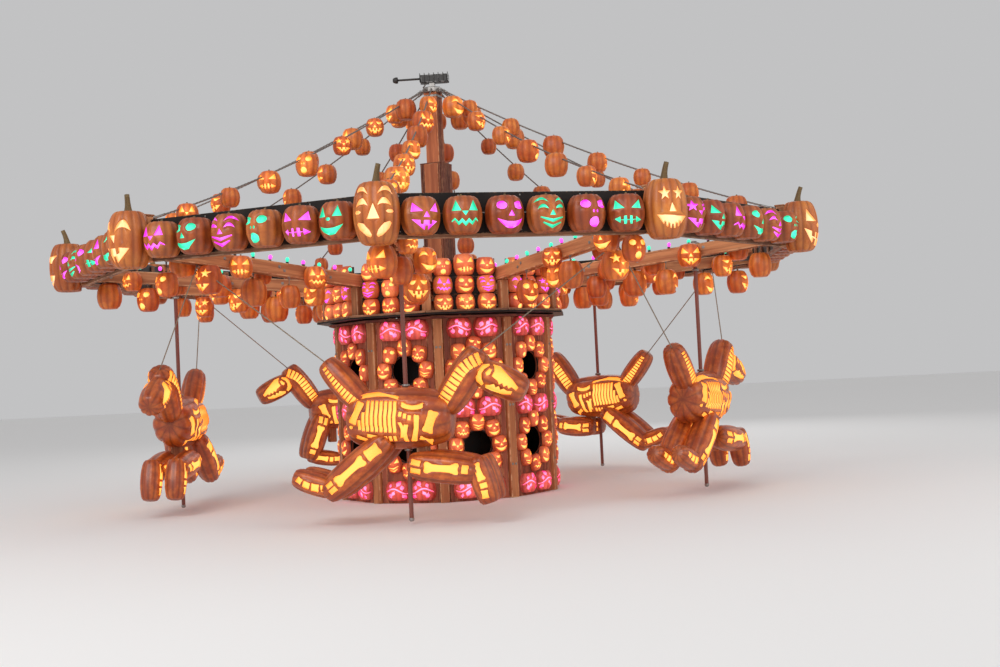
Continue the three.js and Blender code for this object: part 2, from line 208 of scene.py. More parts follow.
def lathe(profile, look, count=16, smooth=True):
    # radius and height pairs carried round +Z; the first and the last pair lie on the axis
    profile = np.asarray(profile, float)
    angle = np.linspace(0, 2 * pi, count, endpoint=False)
    r, z = profile[1:-1, :1], profile[1:-1, 1:]
    rings = np.stack([r * np.cos(angle), r * np.sin(angle), z + 0 * angle], 2)
    points, faces = capped(rings, [0, 0, profile[0, 1]], [0, 0, profile[-1, 1]])
    return turnOut(part(points, faces, look, smooth, tone=chance.uniform()))


def arcLength(path):
    # how far along a path each of its points is
    return np.concatenate([[0], np.cumsum(np.linalg.norm(np.diff(path, axis=0), axis=1))])


def unit(rows):
    # each row divided by its length
    return rows / np.linalg.norm(rows, axis=-1, keepdims=True)


def tube(path, radius, look, count=8):
    # a ring of one radius, or of one for each step, carried along a path; the grain's first number is the
    # way along it, and the other two are the direction round it
    path = np.asarray(path, float)
    radius = np.broadcast_to(np.asarray(radius, float), len(path))
    ahead = unit(np.gradient(path, axis=0))
    guide = np.array([0, 0, 1.0]) if abs(ahead[:, 2]).mean() < 0.8 else np.array([1.0, 0, 0])
    side = unit(np.cross(ahead, guide))
    up = np.cross(side, ahead)
    angle = np.linspace(0, 2 * pi, count, endpoint=False)
    ring = np.cos(angle)[None, :, None] * side[:, None] + np.sin(angle)[None, :, None] * up[:, None]
    points, faces = capped(path[:, None] + radius[:, None, None] * ring, path[0], path[-1])
    run, steps = arcLength(path), len(path)
    grain = np.column_stack([np.repeat(run, count), np.tile(np.cos(angle), steps), np.tile(np.sin(angle), steps)])
    grain = np.vstack([grain, [0, 0, 0], [run[-1], 0, 0]])
    return turnOut(part(points, faces, look, True, grain, tone=chance.uniform()))


def boxTopology():
    # faces of a box with cut edges: on each of its six faces an inner and an outer ring of corners, then
    # a strip along each edge and a triangle at each corner, all turned to look away from the middle
    def at(axis, corner, ring=0):
        return ring * 24 + axis * 8 + corner[0] * 4 + corner[1] * 2 + corner[2]

    def bit(axis, value, corner):
        return tuple(value if i == axis else c for i, c in enumerate(corner))

    around = ((0, 0), (1, 0), (1, 1), (0, 1))
    corners = [(i, j, k) for i in (0, 1) for j in (0, 1) for k in (0, 1)]
    faces = []
    for axis in range(3):
        u, w = (axis + 1) % 3, (axis + 2) % 3
        for end in (0, 1):
            loop = [bit(u, a, bit(w, b, bit(axis, end, (0, 0, 0)))) for a, b in around]
            faces.append([at(axis, c, 1) for c in loop])
            faces += [[at(axis, c), at(axis, d), at(axis, d, 1), at(axis, c, 1)]
                      for c, d in zip(loop, loop[1:] + loop[:1])]
        for a, b in around:
            c = bit(axis, 0, bit(u, a, bit(w, b, (0, 0, 0))))
            d = bit(axis, 1, c)
            faces.append([at(u, c), at(u, d), at(w, d), at(w, c)])
    faces += [[at(0, c), at(1, c), at(2, c), -1] for c in corners]
    faces, corners = np.array(faces), np.array(corners)
    points = np.vstack([corners - 0.5 + (0.5 - corners) * inset * (np.arange(3) != axis)
                        for inset in (0.2, 0.6) for axis in range(3)])
    a, b, c = (points[faces[:, i]] for i in range(3))
    wrong = np.einsum("ij,ij->i", np.cross(b - a, c - a), a + b + c) < 0
    return corners, np.where(wrong[:, None], reversedFaces(faces), faces)


boxCorners, boxFaces = boxTopology()


def board(low, high, look="timber", chamfer=0.004, worn=0.014):
    # a sawn board with cut edges; mark is 1 at its edges and 0 a little way in, and the grain's first
    # number runs along its longest side
    low, high = np.asarray(low, float), np.asarray(high, float)
    size = high - low
    points = np.vstack([low + boxCorners * size + (1 - 2 * boxCorners) * inset * (np.arange(3) != axis)
                        for inset in (np.full(3, min(chamfer, 0.3 * size.min())), np.minimum(worn, 0.4 * size))
                        for axis in range(3)])
    grain = (points - low)[:, np.argsort(-size)] + chance.uniform(0, 40, 3)
    return part(points, boxFaces, look, False, grain, np.repeat([1.0, 0.0], 24), chance.uniform())


def inside(points, loop):
    # even-odd test of many points against one closed outline
    x, y = points[:, :1], points[:, 1:2]
    a, b = loop, np.roll(loop, -1, axis=0)
    crosses = (a[:, 1] > y) != (b[:, 1] > y)
    rise = np.where(b[:, 1] == a[:, 1], 1.0, b[:, 1] - a[:, 1])
    return (np.sum(crosses & (x < a[:, 0] + (y - a[:, 1]) * (b[:, 0] - a[:, 0]) / rise), axis=1) % 2) == 1


def triangulate(loose, loops):
    # triangles over loose points and closed loops, whose edges are kept, all turned the same way
    everything, edges = [tuple(map(float, p)) for p in loose], []
    for loop in loops:
        start, n = len(everything), len(loop)
        edges += [(start + i, start + (i + 1) % n) for i in range(n)]
        everything += [tuple(map(float, p)) for p in loop]
    made = delaunay_2d_cdt(everything, edges, [], 0, 1e-7)
    flat, faces = np.array([tuple(p) for p in made[0]], float), np.array([list(f) for f in made[2]], int)
    a, b, c = (flat[faces[:, i]] for i in range(3))
    turn = (b - a)[:, 0] * (c - a)[:, 1] - (b - a)[:, 1] * (c - a)[:, 0]
    return flat, np.where(turn[:, None] < 0, faces[:, ::-1], faces)


def edgesOf(threes):
    # the three directed edges of every triangle
    return np.vstack([threes[:, [0, 1]], threes[:, [1, 2]], threes[:, [2, 0]]])


def sharedEdges(ours, theirs):
    # directed edges of the first triangles whose other side belongs to the second ones
    span = 1 + max(ours.max(initial=0), theirs.max(initial=0))
    mine, other = edgesOf(ours), edgesOf(theirs)
    return mine[np.isin(mine[:, 0] * span + mine[:, 1], other[:, 1] * span + other[:, 0])]


def plate(outline, holes, low, high, look):
    # a flat outline in y and z with holes through it, given its thickness along x from low to high
    outline, holes = np.asarray(outline, float), [np.asarray(hole, float) for hole in holes]
    flat, faces = triangulate([], [outline] + holes)
    middle = flat[faces].mean(axis=1)
    keep = inside(middle, outline)
    for hole in holes:
        keep &= ~inside(middle, hole)
    faces, n = faces[keep], len(flat)
    edges = edgesOf(faces)
    rim = edges[~np.isin(edges[:, 0] * n + edges[:, 1], edges[:, 1] * n + edges[:, 0])]
    points = np.vstack([np.column_stack([np.full(n, x), flat]) for x in (low, high)])
    walls = np.stack([rim[:, 0], rim[:, 1], rim[:, 1] + n, rim[:, 0] + n], 1)
    faces = np.vstack([padded(np.vstack([faces[:, ::-1], faces + n])), walls])
    grain = points[:, [2, 1, 0]] + chance.uniform(0, 40, 3)
    return turnOut(part(points, faces, look, False, grain, 0.0, chance.uniform()))


def ringOf(radius, count, centre=(0.0, 0.0)):
    # points evenly round a circle, from its cosine and sine
    angle = np.linspace(0, 2 * pi, count, endpoint=False)
    return np.column_stack([centre[0] + radius * np.cos(angle), centre[1] + radius * np.sin(angle)])


def makePiece(name, parts, turn, body, slot, *replaced):
    # the parts turned to their place and made one mesh, which rides on a body and replaces CAD nodes
    p = join([moved(each, turn) for each in parts])
    used, local = np.unique(p["look"], return_inverse=True)
    mesh = bpy.data.meshes.new(name)
    faces = p["faces"]
    corners, counts = faces[faces >= 0], (faces >= 0).sum(axis=1)
    mesh.vertices.add(len(p["points"]))
    mesh.vertices.foreach_set("co", p["points"].ravel())
    mesh.loops.add(len(corners))
    mesh.loops.foreach_set("vertex_index", corners)
    mesh.polygons.add(len(faces))
    mesh.polygons.foreach_set("loop_start", np.cumsum(counts) - counts)
    mesh.polygons.foreach_set("material_index", local.ravel())
    mesh.update(calc_edges=True)
    mesh.polygons.foreach_set("use_smooth", p["smooth"])
    mesh.attributes.new("grain", "FLOAT_VECTOR", "POINT").data.foreach_set("vector", p["grain"].ravel())
    for key in ("mark", "tone", "glow"):
        mesh.attributes.new(key, "FLOAT", "POINT").data.foreach_set("value", p[key])
    for number in used:
        mesh.materials.append(looks[lookNames[number]])
    piece = bpy.data.objects.new(name, mesh)
    bpy.context.scene.collection.objects.link(piece)
    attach(piece, body)
    if replaced:
        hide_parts(*replaced)


# openings of a carved front, as closed loops where the front is 2 wide and 2 high
def roundHole(x, y, width, height, count=10):
    # an ellipse: half the width times the cosine, and half the height times the sine
    return ringOf(1, count) * [width / 2, height / 2] + [x, y]


def triangleHole(x, y, width, height, lean=0.0):
    # a tip over a level edge, which leans aside by a share of the width
    return np.array([[-0.5, -0.5], [0.5, -0.5], [lean, 0.5]]) * [width, height] + [x, y]


def starHole(x, y, size, points=5):
    # radius alternates between the full size and 0.42 of it
    angle = pi / 2 + np.arange(2 * points) * pi / points
    radius = np.where(np.arange(2 * points) % 2, 0.42, 1.0) * size / 2
    return np.column_stack([x + radius * np.cos(angle), y + radius * np.sin(angle)])


def crescentHole(x, y, width, height, bow, count=7):
    # two arcs between the same ends: both rise by bow times one minus s squared, one by the height more
    s = np.linspace(-1, 1, count)
    arc = 1 - s**2
    upper = np.column_stack([x + s * width / 2, y + (bow + height) * arc])
    lower = np.column_stack([x + s * width / 2, y + bow * arc])[-2:0:-1]
    return np.vstack([upper, lower])


def grinHole(x, y, width, height, bow, upper=2, lower=1):
    # a band whose middle line rises by bow times s squared and which thins towards its ends, with square
    # teeth left standing in from both edges
    def edge(sign, teeth):
        s, bite = [-1.0], [0.0]
        tooth = 0.1 if teeth < 4 else 0.3 / teeth
        for middle in (np.arange(teeth) + 0.5) / max(teeth, 1) * 1.3 - 0.65:
            s += [middle - tooth - 0.02, middle - tooth, middle + tooth, middle + tooth + 0.02]
            bite += [0, 1, 1, 0]
        s, bite = np.array(s + [1.0]), np.array(bite + [0])
        half = height / 2 * (1 - 0.8 * s**2)
        return np.column_stack([x + s * width / 2, y + bow * s**2 + sign * half * (1 - 0.9 * bite)])

    return np.vstack([edge(1, upper)[:-1], edge(-1, lower)[:0:-1]])


def zigzagHole(x, y, width, height, bow, count=4):
    # an upper and a lower saw edge that step together and close in towards the ends
    s = np.linspace(-1, 1, 2 * count + 1)
    saw = np.where(np.arange(2 * count + 1) % 2, 0.5, -0.5) * height
    middle = np.column_stack([x + s * width / 2, y + bow * s**2 + saw])
    thick = np.column_stack([0 * s, height * 0.75 * (1 - 0.85 * s**2)])
    return np.vstack([middle + thick, (middle - (thick * 0.4 + [0, 0.02]))[::-1]])


def strokeHole(path, width):
    # a line given its width, which thins to a third at both ends
    path = np.asarray(path, float)
    ahead = unit(np.gradient(path, axis=0))
    side = np.column_stack([-ahead[:, 1], ahead[:, 0]])
    half = width / 2 * (1 - 0.67 * np.abs(np.linspace(-1, 1, len(path))) ** 3)[:, None]
    return np.vstack([path + side * half, (path - side * half)[::-1]])


def leafHole(x, y, length, width, angle):
    # a pointed leaf on a thin stem, from its foot at x, y
    s = np.array([0, 0.30, 0.44, 0.64, 0.84, 1.0])
    half = width / 2 * np.array([0.30, 0.24, 0.80, 1.0, 0.62, 0])
    shape = np.vstack([np.column_stack([s * length, half]), np.column_stack([s * length, -half])[-2:0:-1]])
    return shape @ aboutZ(angle)[:2, :2].T + [x, y]


def pair(make, x, *rest, **more):
    # the same opening on both sides of the middle
    hole = make(x, *rest, **more)
    return [hole, (hole * [-1, 1])[::-1]]


eyes = {
    "wedge": lambda n: pair(triangleHole, 0.37, 0.3, 0.46, 0.40, lean=0.28),
    "tall": lambda n: pair(triangleHole, 0.34, 0.34, 0.36, 0.48),
    "smiling": lambda n: pair(crescentHole, 0.38, 0.18, 0.5, 0.22, 0.12, count=n),
    "round": lambda n: pair(roundHole, 0.36, 0.32, 0.40, 0.38, count=n + 2),
    "star": lambda n: pair(starHole, 0.38, 0.3, 0.56),
    "spark": lambda n: pair(starHole, 0.25, 0.36, 0.42),
    "sleepy": lambda n: pair(crescentHole, 0.37, 0.38, 0.5, -0.24, -0.02, count=n),
    "browed": lambda n: pair(crescentHole, 0.37, 0.12, 0.42, 0.16, 0.06, count=n)
    + pair(crescentHole, 0.4, 0.42, 0.5, 0.12, 0.12, count=n),
}
noses = {
    "none": [],
    "wedge": [triangleHole(0, -0.04, 0.26, 0.26)],
    "broad": [triangleHole(0, -0.02, 0.42, 0.42)],
    "upturned": [triangleHole(0, -0.03, 0.27, -0.22)],
    "slits": pair(roundHole, 0.08, -0.02, 0.09, 0.16, count=6),
    "button": [roundHole(0, -0.02, 0.2, 0.16, count=8)],
}
mouths = {
    "grin": lambda n: [grinHole(0, -0.52, 1.15, 0.42, 0.24)],
    "wide": lambda n: [grinHole(0, -0.50, 1.3, 0.44, 0.32, 3, 2)],
    "smile": lambda n: [crescentHole(0, -0.25, 1.1, -0.30, -0.17, count=n + 2)],
    "saw": lambda n: [zigzagHole(0, -0.45, 1.1, 0.16, 0.18)],
    "gasp": lambda n: [roundHole(0, -0.5, 0.46, 0.46, count=n + 4)],
    "bars": lambda n: [strokeHole([[-0.48, -0.24], [0, -0.42], [0.48, -0.24]], 0.15)]
    + [strokeHole([[-0.38, -0.48], [0, -0.68], [0.38, -0.48]], 0.15)],
    "split": lambda n: pair(strokeHole, np.linspace([0.10, -0.68], [0.54, -0.32], 5), 0.20)
    + pair(roundHole, 0.54, -0.03, 0.22, 0.11, count=6),
    "toothy": lambda n: [grinHole(0, -0.50, 1.05, 0.26, 0.24, 0, 5)],
    "band": lambda n: [grinHole(0, -0.44, 1.15, 0.38, 0.05, 3, 3)],
}
faceSize, faceUp = np.array([1.27, 1.2]), 0.03


def face(eye, nose, mouth, detail):
    # the openings of one face, drawn bigger by the face's size and moved up a little
    holes = eyes[eye](detail) + noses[nose] + mouths[mouth](detail)
    return [np.asarray(hole, float) * faceSize + [0, faceUp] for hole in holes]


# carved pumpkins
def profile(form, s):
    # how far out, out of 1, a pumpkin is where s is the sine of the angle up its side
    return np.sqrt((1 - s**2).clip(0)) ** form["fullness"]


def heightCurve(form):
    # the sine of the angle up at which a pumpkin is highest, and its height there
    top = min(1.0, (1 / (7 * form["dip"])) ** (1 / 6))
    return top, top * (1 - form["dip"] * top**6)


def rind(form, x, y):
    # round by x and up by y: half the width times the profile, drawn in at each groove between ribs, and
    # half the height times a sine that dips again near the poles
    s, peak = np.sin(y), heightCurve(form)[1]
    groove = (1 - np.abs(np.sin(form["ribs"] * (x - form["start"]) / 2))) ** 2
    radius = form["width"] / 2 * profile(form, s) * (1 - form["groove"] * groove)
    z = form["height"] / 2 * s * (1 - form["dip"] * s**6) / peak
    points = np.column_stack([form.get("depth", 1.0) * radius * np.cos(x), radius * np.sin(x), z])
    return points, groove


def onFront(form, hole, behind=False):
    # an opening drawn on the flat front view, carried onto the angles round and up that lie behind it
    top, peak = heightCurve(form)
    s = np.linspace(-top, top, 60)
    up = np.interp(hole[:, 1], s * (1 - form["dip"] * s**6) / peak, s)
    turn = np.arcsin((hole[:, 0] / profile(form, up)).clip(-0.97, 0.97))
    return np.column_stack([pi - turn if behind else turn, np.arcsin(up)])


def clearOf(loose, loops, cell, room=0.3):
    # the loose points that lie further than the room, counted in cells of the grid, from all the loops' edges
    a = np.vstack(loops) / cell
    edge = np.vstack([np.roll(loop, -1, axis=0) for loop in loops]) / cell - a
    away = loose[:, None] / cell - a
    t = np.einsum("ijk,jk->ij", away, edge) / np.maximum(np.einsum("jk,jk->j", edge, edge), 1e-9)
    gap = np.linalg.norm(away - t.clip(0, 1)[:, :, None] * edge, axis=2).min(axis=1)
    return loose[gap > room]


def closedRound(flat, faces, kind, start):
    # the two sides of the sheet of angles are joined, and each of its ends becomes one pole
    flat[np.abs(flat[:, 0] - start - 2 * pi) < 1e-5, 0] = start
    flat[np.abs(flat[:, 1]) > pi / 2 - 1e-5, 0] = start
    _, first, same = np.unique(np.round(flat, 6), axis=0, return_index=True, return_inverse=True)
    faces = same.ravel()[faces]
    whole = (faces != np.roll(faces, -1, axis=1)).all(axis=1)
    return flat[first], faces[whole], kind[whole]


def carved(form, holes, behind=()):
    # the rind over a grid of angles, with each hole cut out of it: a wall runs in from the hole's edge, by
    # the depth of the carving along the normal of an ellipsoid of that size, to a floor at the same angles
    columns, rows = form["grid"]
    start, cell = form["start"], np.array([2 * pi / columns, pi / rows])
    xs = start + np.linspace(0, 2 * pi, columns + 1)
    if form.get("half"):  # only the front half is finely divided
        xs, cell[0] = np.concatenate([[-pi], np.linspace(-1.7, 1.7, columns + 1), [pi]]), cell[0] / 2
    loose = np.stack(np.meshgrid(xs, np.linspace(-pi / 2, pi / 2, rows + 1)), 2).reshape(-1, 2)
    loops = [onFront(form, hole) for hole, _ in holes] + [onFront(form, hole, True) for hole, _ in behind]
    if loops:
        loose = clearOf(loose, loops, cell)
    flat, faces = triangulate(loose, loops)
    middle = flat[faces].mean(axis=1)
    kind = np.full(len(faces), -1)
    for loop, (_, look) in zip(loops, [*holes, *behind]):
        kind[inside(middle, loop)] = lookNames.index(look)
    flat, faces, kind = closedRound(flat, faces, kind, start)
    points, groove = rind(form, flat[:, 0], flat[:, 1])
    n = len(points)
    skin, floor = faces[kind < 0], faces[kind >= 0]
    half = np.array([form["width"] * form.get("depth", 1.0), form["width"], form["height"]]) / 2
    normal = points / half**2
    inner = points - form["carve"] * normal / np.linalg.norm(normal, axis=1)[:, None].clip(1e-9)
    # light inside falls off from the middle of the face, as a bell curve of the way across and up
    front = np.exp(-((np.sin(flat[:, 0]) * np.cos(flat[:, 1])) ** 2 + np.sin(flat[:, 1]) ** 2) / 0.45)
    facing = 1.0 if behind else (0.35 + np.cos(flat[:, 0])).clip(0, 1)
    glow = np.tile(front * facing * bool(loops), 2)
    rim = sharedEdges(skin, floor) if loops else np.zeros((0, 2), int)
    walls = np.stack([rim[:, 1], rim[:, 0], rim[:, 0] + n, rim[:, 1] + n], 1)
    owner = {tuple(edge): k for edge, k in zip(edgesOf(floor).tolist(), np.tile(kind[kind >= 0], 3).tolist())}
    wallLook = np.array([owner[b, a] for a, b in rim.tolist()], int)
    faces = np.vstack([padded(skin), padded(floor + n), walls])
    look = np.concatenate([np.full(len(skin), lookNames.index(form["look"])), kind[kind >= 0], wallLook])
    # on the skin the mark is the groove depth, which the rind material paints as shade; on the floors it is the light
    # from inside
    mark = np.concatenate([groove, 0.3 + 0.7 * front])
    both = np.vstack([points, inner])
    used = np.unique(faces[faces >= 0])
    local = np.where(faces < 0, -1, np.searchsorted(used, faces))
    smooth = np.arange(len(faces)) < len(skin)
    return part(both[used], local, look, smooth, both[used] / form["width"], mark[used], glow=glow[used])


def facesOn(form, kinds, detail, look):
    # one carved pumpkin for each kind of face
    return [carved(form, holesOf(face(*kind, detail), look)) for kind in kinds]


def holesOf(holes, look):
    # each opening with the look of its inside
    return [(hole, look) for hole in holes]


def stalk(height, radius, curl, sidesOfIt, steps):
    # a ribbed stem that leans over as the square of the way up, and flares at its foot
    t = np.linspace(0, 1, steps)
    path = np.column_stack([curl * t**2, 0 * t, height * t])
    width = radius * (1 + 1.1 * (1 - t) ** 4 - 0.25 * t)
    p = tube(path, width, "stalk", sidesOfIt)
    lobe = np.where(np.arange(len(p["points"])) % 2, 1.0, 0.82)[:, None]
    centre = np.repeat(path, sidesOfIt, axis=0)
    p["points"][:-2] = centre + (p["points"][:-2] - centre) * lobe[:-2]
    return p


print("tools ready")


# materials
def addGroup(name, outputs, **inputs):
    # a node group whose inputs take their kind from their value: a number, a vector of 3 or a colour of 4
    group = bpy.data.node_groups.new(name, "ShaderNodeTree")
    for label, value in inputs.items():
        kind = "Float" if isinstance(value, float) else "Vector" if len(value) == 3 else "Color"
        group.interface.new_socket(label, in_out="INPUT", socket_type="NodeSocket" + kind).default_value = value
    for label in outputs:
        kind = "Color" if label == "Color" else "Float"
        group.interface.new_socket(label, in_out="OUTPUT", socket_type="NodeSocket" + kind)
    return group, group.nodes.new("NodeGroupInput").outputs, group.nodes.new("NodeGroupOutput").inputs


def addNode(tree, kind, settings=None, **inputs):
    # a node whose sockets, named or numbered as _0, _1, take a value or another node's output
    node = tree.nodes.new("ShaderNode" + kind)
    for key, value in (settings or {}).items():
        setattr(node, key, value)
    for key, value in inputs.items():
        socket = node.inputs[int(key[1:])] if key[0] == "_" else node.inputs[key]
        if isinstance(value, bpy.types.NodeSocket):
            tree.links.new(value, socket)
        else:
            socket.default_value = value
    return node


def mathNode(tree, operation, a, b=0.0):
    return addNode(tree, "Math", {"operation": operation, "use_clamp": True}, _0=a, _1=b).outputs[0]


def timesNode(tree, a, b):
    return mathNode(tree, "MULTIPLY", a, b)


def blendNode(tree, factor, a, b, how="MIX"):
    return addNode(tree, "Mix", {"data_type": "RGBA", "blend_type": how}, _0=factor, _6=a, _7=b).outputs[2]


def noiseNode(tree, vector, scale, detail=3.0):
    return addNode(tree, "TexNoise", Vector=vector, Scale=scale, Detail=detail, Roughness=0.6).outputs[0]


def stepNode(tree, value, low, high):
    ends = {"From Min": low, "From Max": high}
    return addNode(tree, "MapRange", {"interpolation_type": "SMOOTHSTEP"}, Value=value, **ends).outputs[0]


def rangeNode(tree, value, low, high):
    # a value from 0 to 1 carried to the range from low to high
    return addNode(tree, "MapRange", Value=value, **{"To Min": low, "To Max": high}).outputs[0]


def stretchNode(tree, vector, scale):
    return addNode(tree, "Mapping", Vector=vector, Scale=scale).outputs[0]


dark, mid, surface = (0.02, 0.02, 0.02, 1), (0.5, 0.5, 0.5, 1), ("Color", "Roughness", "Height")


def makeRindGroup():
    # patches blend base into blush, grooves darken to deep as painted shade, and specks and pores give the height
    group, given, out = addGroup("rindMottle", surface, Grain=(0, 0, 0), Tone=0.5, Groove=0.0, Base=mid, Blush=mid,
                                 Deep=dark)
    patches = noiseNode(group, given["Grain"], 2.6)
    specks = noiseNode(group, given["Grain"], 34.0, 5.0)
    pores = addNode(group, "TexVoronoi", Vector=given["Grain"], Scale=46.0).outputs["Distance"]
    color = blendNode(group, stepNode(group, patches, 0.4, 0.66), given["Base"], given["Blush"])
    color = blendNode(group, timesNode(group, stepNode(group, specks, 0.52, 0.75), 0.3), color, given["Deep"])
    # painted shade: the deeper a groove between ribs, the darker the skin there
    color = blendNode(group, timesNode(group, given["Groove"], 0.55), color, given["Deep"])
    shade = blendNode(group, given["Tone"], (0.84, 0.64, 0.60, 1), (1.14, 1.28, 1.30, 1))  # from redder to paler
    height = mathNode(group, "ADD", timesNode(group, specks, 0.5), timesNode(group, pores, 0.5))
    group.links.new(blendNode(group, 1.0, color, shade, "MULTIPLY"), out["Color"])
    group.links.new(rangeNode(group, specks, 0.28, 0.62), out["Roughness"])
    group.links.new(height, out["Height"])
    return group


def makeHollowGroup():
    # the lit inside of a carving: the wall's edge colour turns to the core colour as the mark grows, in
    # blotches where the shell was scraped thinner
    group, given, out = addGroup("litHollow", ("Color",), Grain=(0, 0, 0), Mark=0.5, Edge=mid, Core=mid, Blotch=0.3)
    scraped = noiseNode(group, given["Grain"], 16.0, 4.0)
    shift = timesNode(group, mathNode(group, "SUBTRACT", scraped, 0.3), given["Blotch"])
    amount = stepNode(group, mathNode(group, "SUBTRACT", given["Mark"], shift), 0.1, 0.85)
    group.links.new(blendNode(group, amount, given["Edge"], given["Core"]), out["Color"])
    return group


def makeWoodGroup():
    # long noise for the growth rings, finer noise for the fibres, dots of a stretched cell pattern for
    # knots, and worn edges where the mark and a coarse noise are both high
    group, given, out = addGroup("sawnWood", surface, Grain=(0, 0, 0), Tone=0.5, Mark=0.0, Light=mid, Dark=dark,
                                 Worn=mid)
    rings = noiseNode(group, stretchNode(group, given["Grain"], (1.1, 19.0, 19.0)), 1.0, 4.0)
    fibres = noiseNode(group, stretchNode(group, given["Grain"], (9.0, 260.0, 260.0)), 1.0, 3.0)
    cells = addNode(group, "TexVoronoi", Vector=stretchNode(group, given["Grain"], (1.3, 6.0, 6.0)), Scale=1.0)
    knots = stepNode(group, cells.outputs["Distance"], 0.13, 0.04)
    color = blendNode(group, stepNode(group, rings, 0.36, 0.64), given["Light"], given["Dark"])
    color = blendNode(group, timesNode(group, stepNode(group, fibres, 0.45, 0.7), 0.4), color, given["Dark"])
    color = blendNode(group, timesNode(group, knots, 0.75), color, given["Dark"])
    patch = stepNode(group, noiseNode(group, given["Grain"], 11.0), 0.42, 0.62)
    color = blendNode(group, timesNode(group, given["Mark"], patch), color, given["Worn"])
    shade = rangeNode(group, given["Tone"], 0.72, 1.2)
    height = mathNode(group, "ADD", timesNode(group, rings, 0.5), timesNode(group, fibres, 0.5))
    group.links.new(blendNode(group, 1.0, color, shade, "MULTIPLY"), out["Color"])
    group.links.new(rangeNode(group, fibres, 0.5, 0.85), out["Roughness"])
    group.links.new(height, out["Height"])
    return group


def makePaintGroup():
    # brushed paint: streaks along the piece, dust in a coarse noise, and chips to the bare colour at the edges
    group, given, out = addGroup("brushedPaint", surface, Grain=(0, 0, 0), Mark=0.0, Paint=mid, Dust=mid, Bare=mid)
    streaks = noiseNode(group, stretchNode(group, given["Grain"], (3.0, 120.0, 120.0)), 1.0)
    clouds = noiseNode(group, given["Grain"], 3.5)
    chips = noiseNode(group, given["Grain"], 26.0, 5.0)
    dusty = timesNode(group, stepNode(group, clouds, 0.45, 0.7), 0.5)
    color = blendNode(group, dusty, given["Paint"], given["Dust"])
    color = blendNode(group, timesNode(group, stepNode(group, streaks, 0.5, 0.75), 0.25), color, given["Dust"])
    bare = timesNode(group, given["Mark"], stepNode(group, chips, 0.5, 0.58))
    group.links.new(blendNode(group, bare, color, given["Bare"]), out["Color"])
    group.links.new(rangeNode(group, clouds, 0.3, 0.6), out["Roughness"])
    group.links.new(mathNode(group, "SUBTRACT", streaks, bare), out["Height"])
    return group


rindGroup, hollowGroup, woodGroup, paintGroup = makeRindGroup(), makeHollowGroup(), makeWoodGroup(), makePaintGroup()


def makeLook(name, group, colors, bump=0.3, distance=0.002, scale=None, strength=0.0, through=0.0, **settings):
    # one Principled shader whose colour, roughness and bump come from a group that reads the piece's
    # attributes, or Object coordinates times a scale on a frame node; a strength makes its colour light
    look = bpy.data.materials.new(name)
    look.use_nodes = True
    tree = look.node_tree
    shader = tree.nodes["Principled BSDF"]
    node = tree.nodes.new("ShaderNodeGroup")
    node.node_tree = group

    def read(attribute, output="Fac"):
        return addNode(tree, "Attribute", {"attribute_name": attribute}).outputs[output]

    if scale:
        placed = tree.nodes.new("ShaderNodeTexCoord").outputs["Object"]
        tree.links.new(stretchNode(tree, placed, scale), node.inputs["Grain"])
    else:
        tree.links.new(read("grain", "Vector"), node.inputs["Grain"])
        for label, attribute in (("Tone", "tone"), ("Mark", "mark"), ("Groove", "mark")):
            if label in node.inputs:
                tree.links.new(read(attribute), node.inputs[label])
    for label, value in colors.items():
        node.inputs[label].default_value = (*value, 1.0) if isinstance(value, tuple) else value
    if strength:
        tree.links.new(node.outputs["Color"], shader.inputs["Emission Color"])
        shader.inputs["Base Color"].default_value = (*(0.5 * c for c in colors["Edge"]), 1.0)
    else:
        tree.links.new(node.outputs["Color"], shader.inputs["Base Color"])
        tree.links.new(node.outputs["Roughness"], shader.inputs["Roughness"])
        raised = addNode(tree, "Bump", Strength=bump, Distance=distance, Height=node.outputs["Height"])
        tree.links.new(raised.outputs[0], shader.inputs["Normal"])
    if through:  # light from inside that shines through the rind round the carving
        lit = blendNode(tree, timesNode(tree, read("glow"), through), (0, 0, 0, 1), node.outputs["Color"])
        tree.links.new(lit, shader.inputs["Emission Color"])
    if strength or through:
        shader.inputs["Emission Strength"].default_value = strength or 1.0
        look.cycles.emission_sampling = "NONE"
    for label, value in settings.items():
        shader.inputs[label].default_value = value
    looks[name] = look


# each skin: base, blush, deep for the specks and for the painted shade in the grooves, and the light from inside
# through the rind
skins = {
    "ringSkin": ((0.36, 0.080, 0.016), (0.48, 0.125, 0.022), (0.14, 0.028, 0.008), 0.4),
    "cornerSkin": ((0.44, 0.105, 0.018), (0.56, 0.165, 0.026), (0.18, 0.036, 0.010), 0.5),
    "hungSkin": ((0.66, 0.125, 0.018), (0.80, 0.205, 0.028), (0.32, 0.045, 0.008), 0.7),
    "roofSkin": ((0.66, 0.135, 0.020), (0.80, 0.220, 0.030), (0.30, 0.048, 0.009), 0.7),
    "crownSkin": ((0.70, 0.130, 0.050), (0.82, 0.215, 0.065), (0.36, 0.052, 0.022), 0.8),
    "drumSkin": ((0.66, 0.105, 0.040), (0.78, 0.175, 0.055), (0.30, 0.040, 0.017), 0.8),
    "vineSkin": ((0.64, 0.070, 0.055), (0.76, 0.120, 0.085), (0.30, 0.026, 0.024), 0.9),
    "horseSkin": ((0.36, 0.058, 0.009), (0.56, 0.125, 0.016), (0.10, 0.016, 0.004), 0.75),
}
for skinName, (base, blush, deep, through) in skins.items():
    makeLook(skinName, rindGroup, {"Base": base, "Blush": blush, "Deep": deep}, 0.35, 0.003, through=through,
             **{"Coat Weight": 0.45 if skinName == "horseSkin" else 0.15, "Coat Roughness": 0.2})
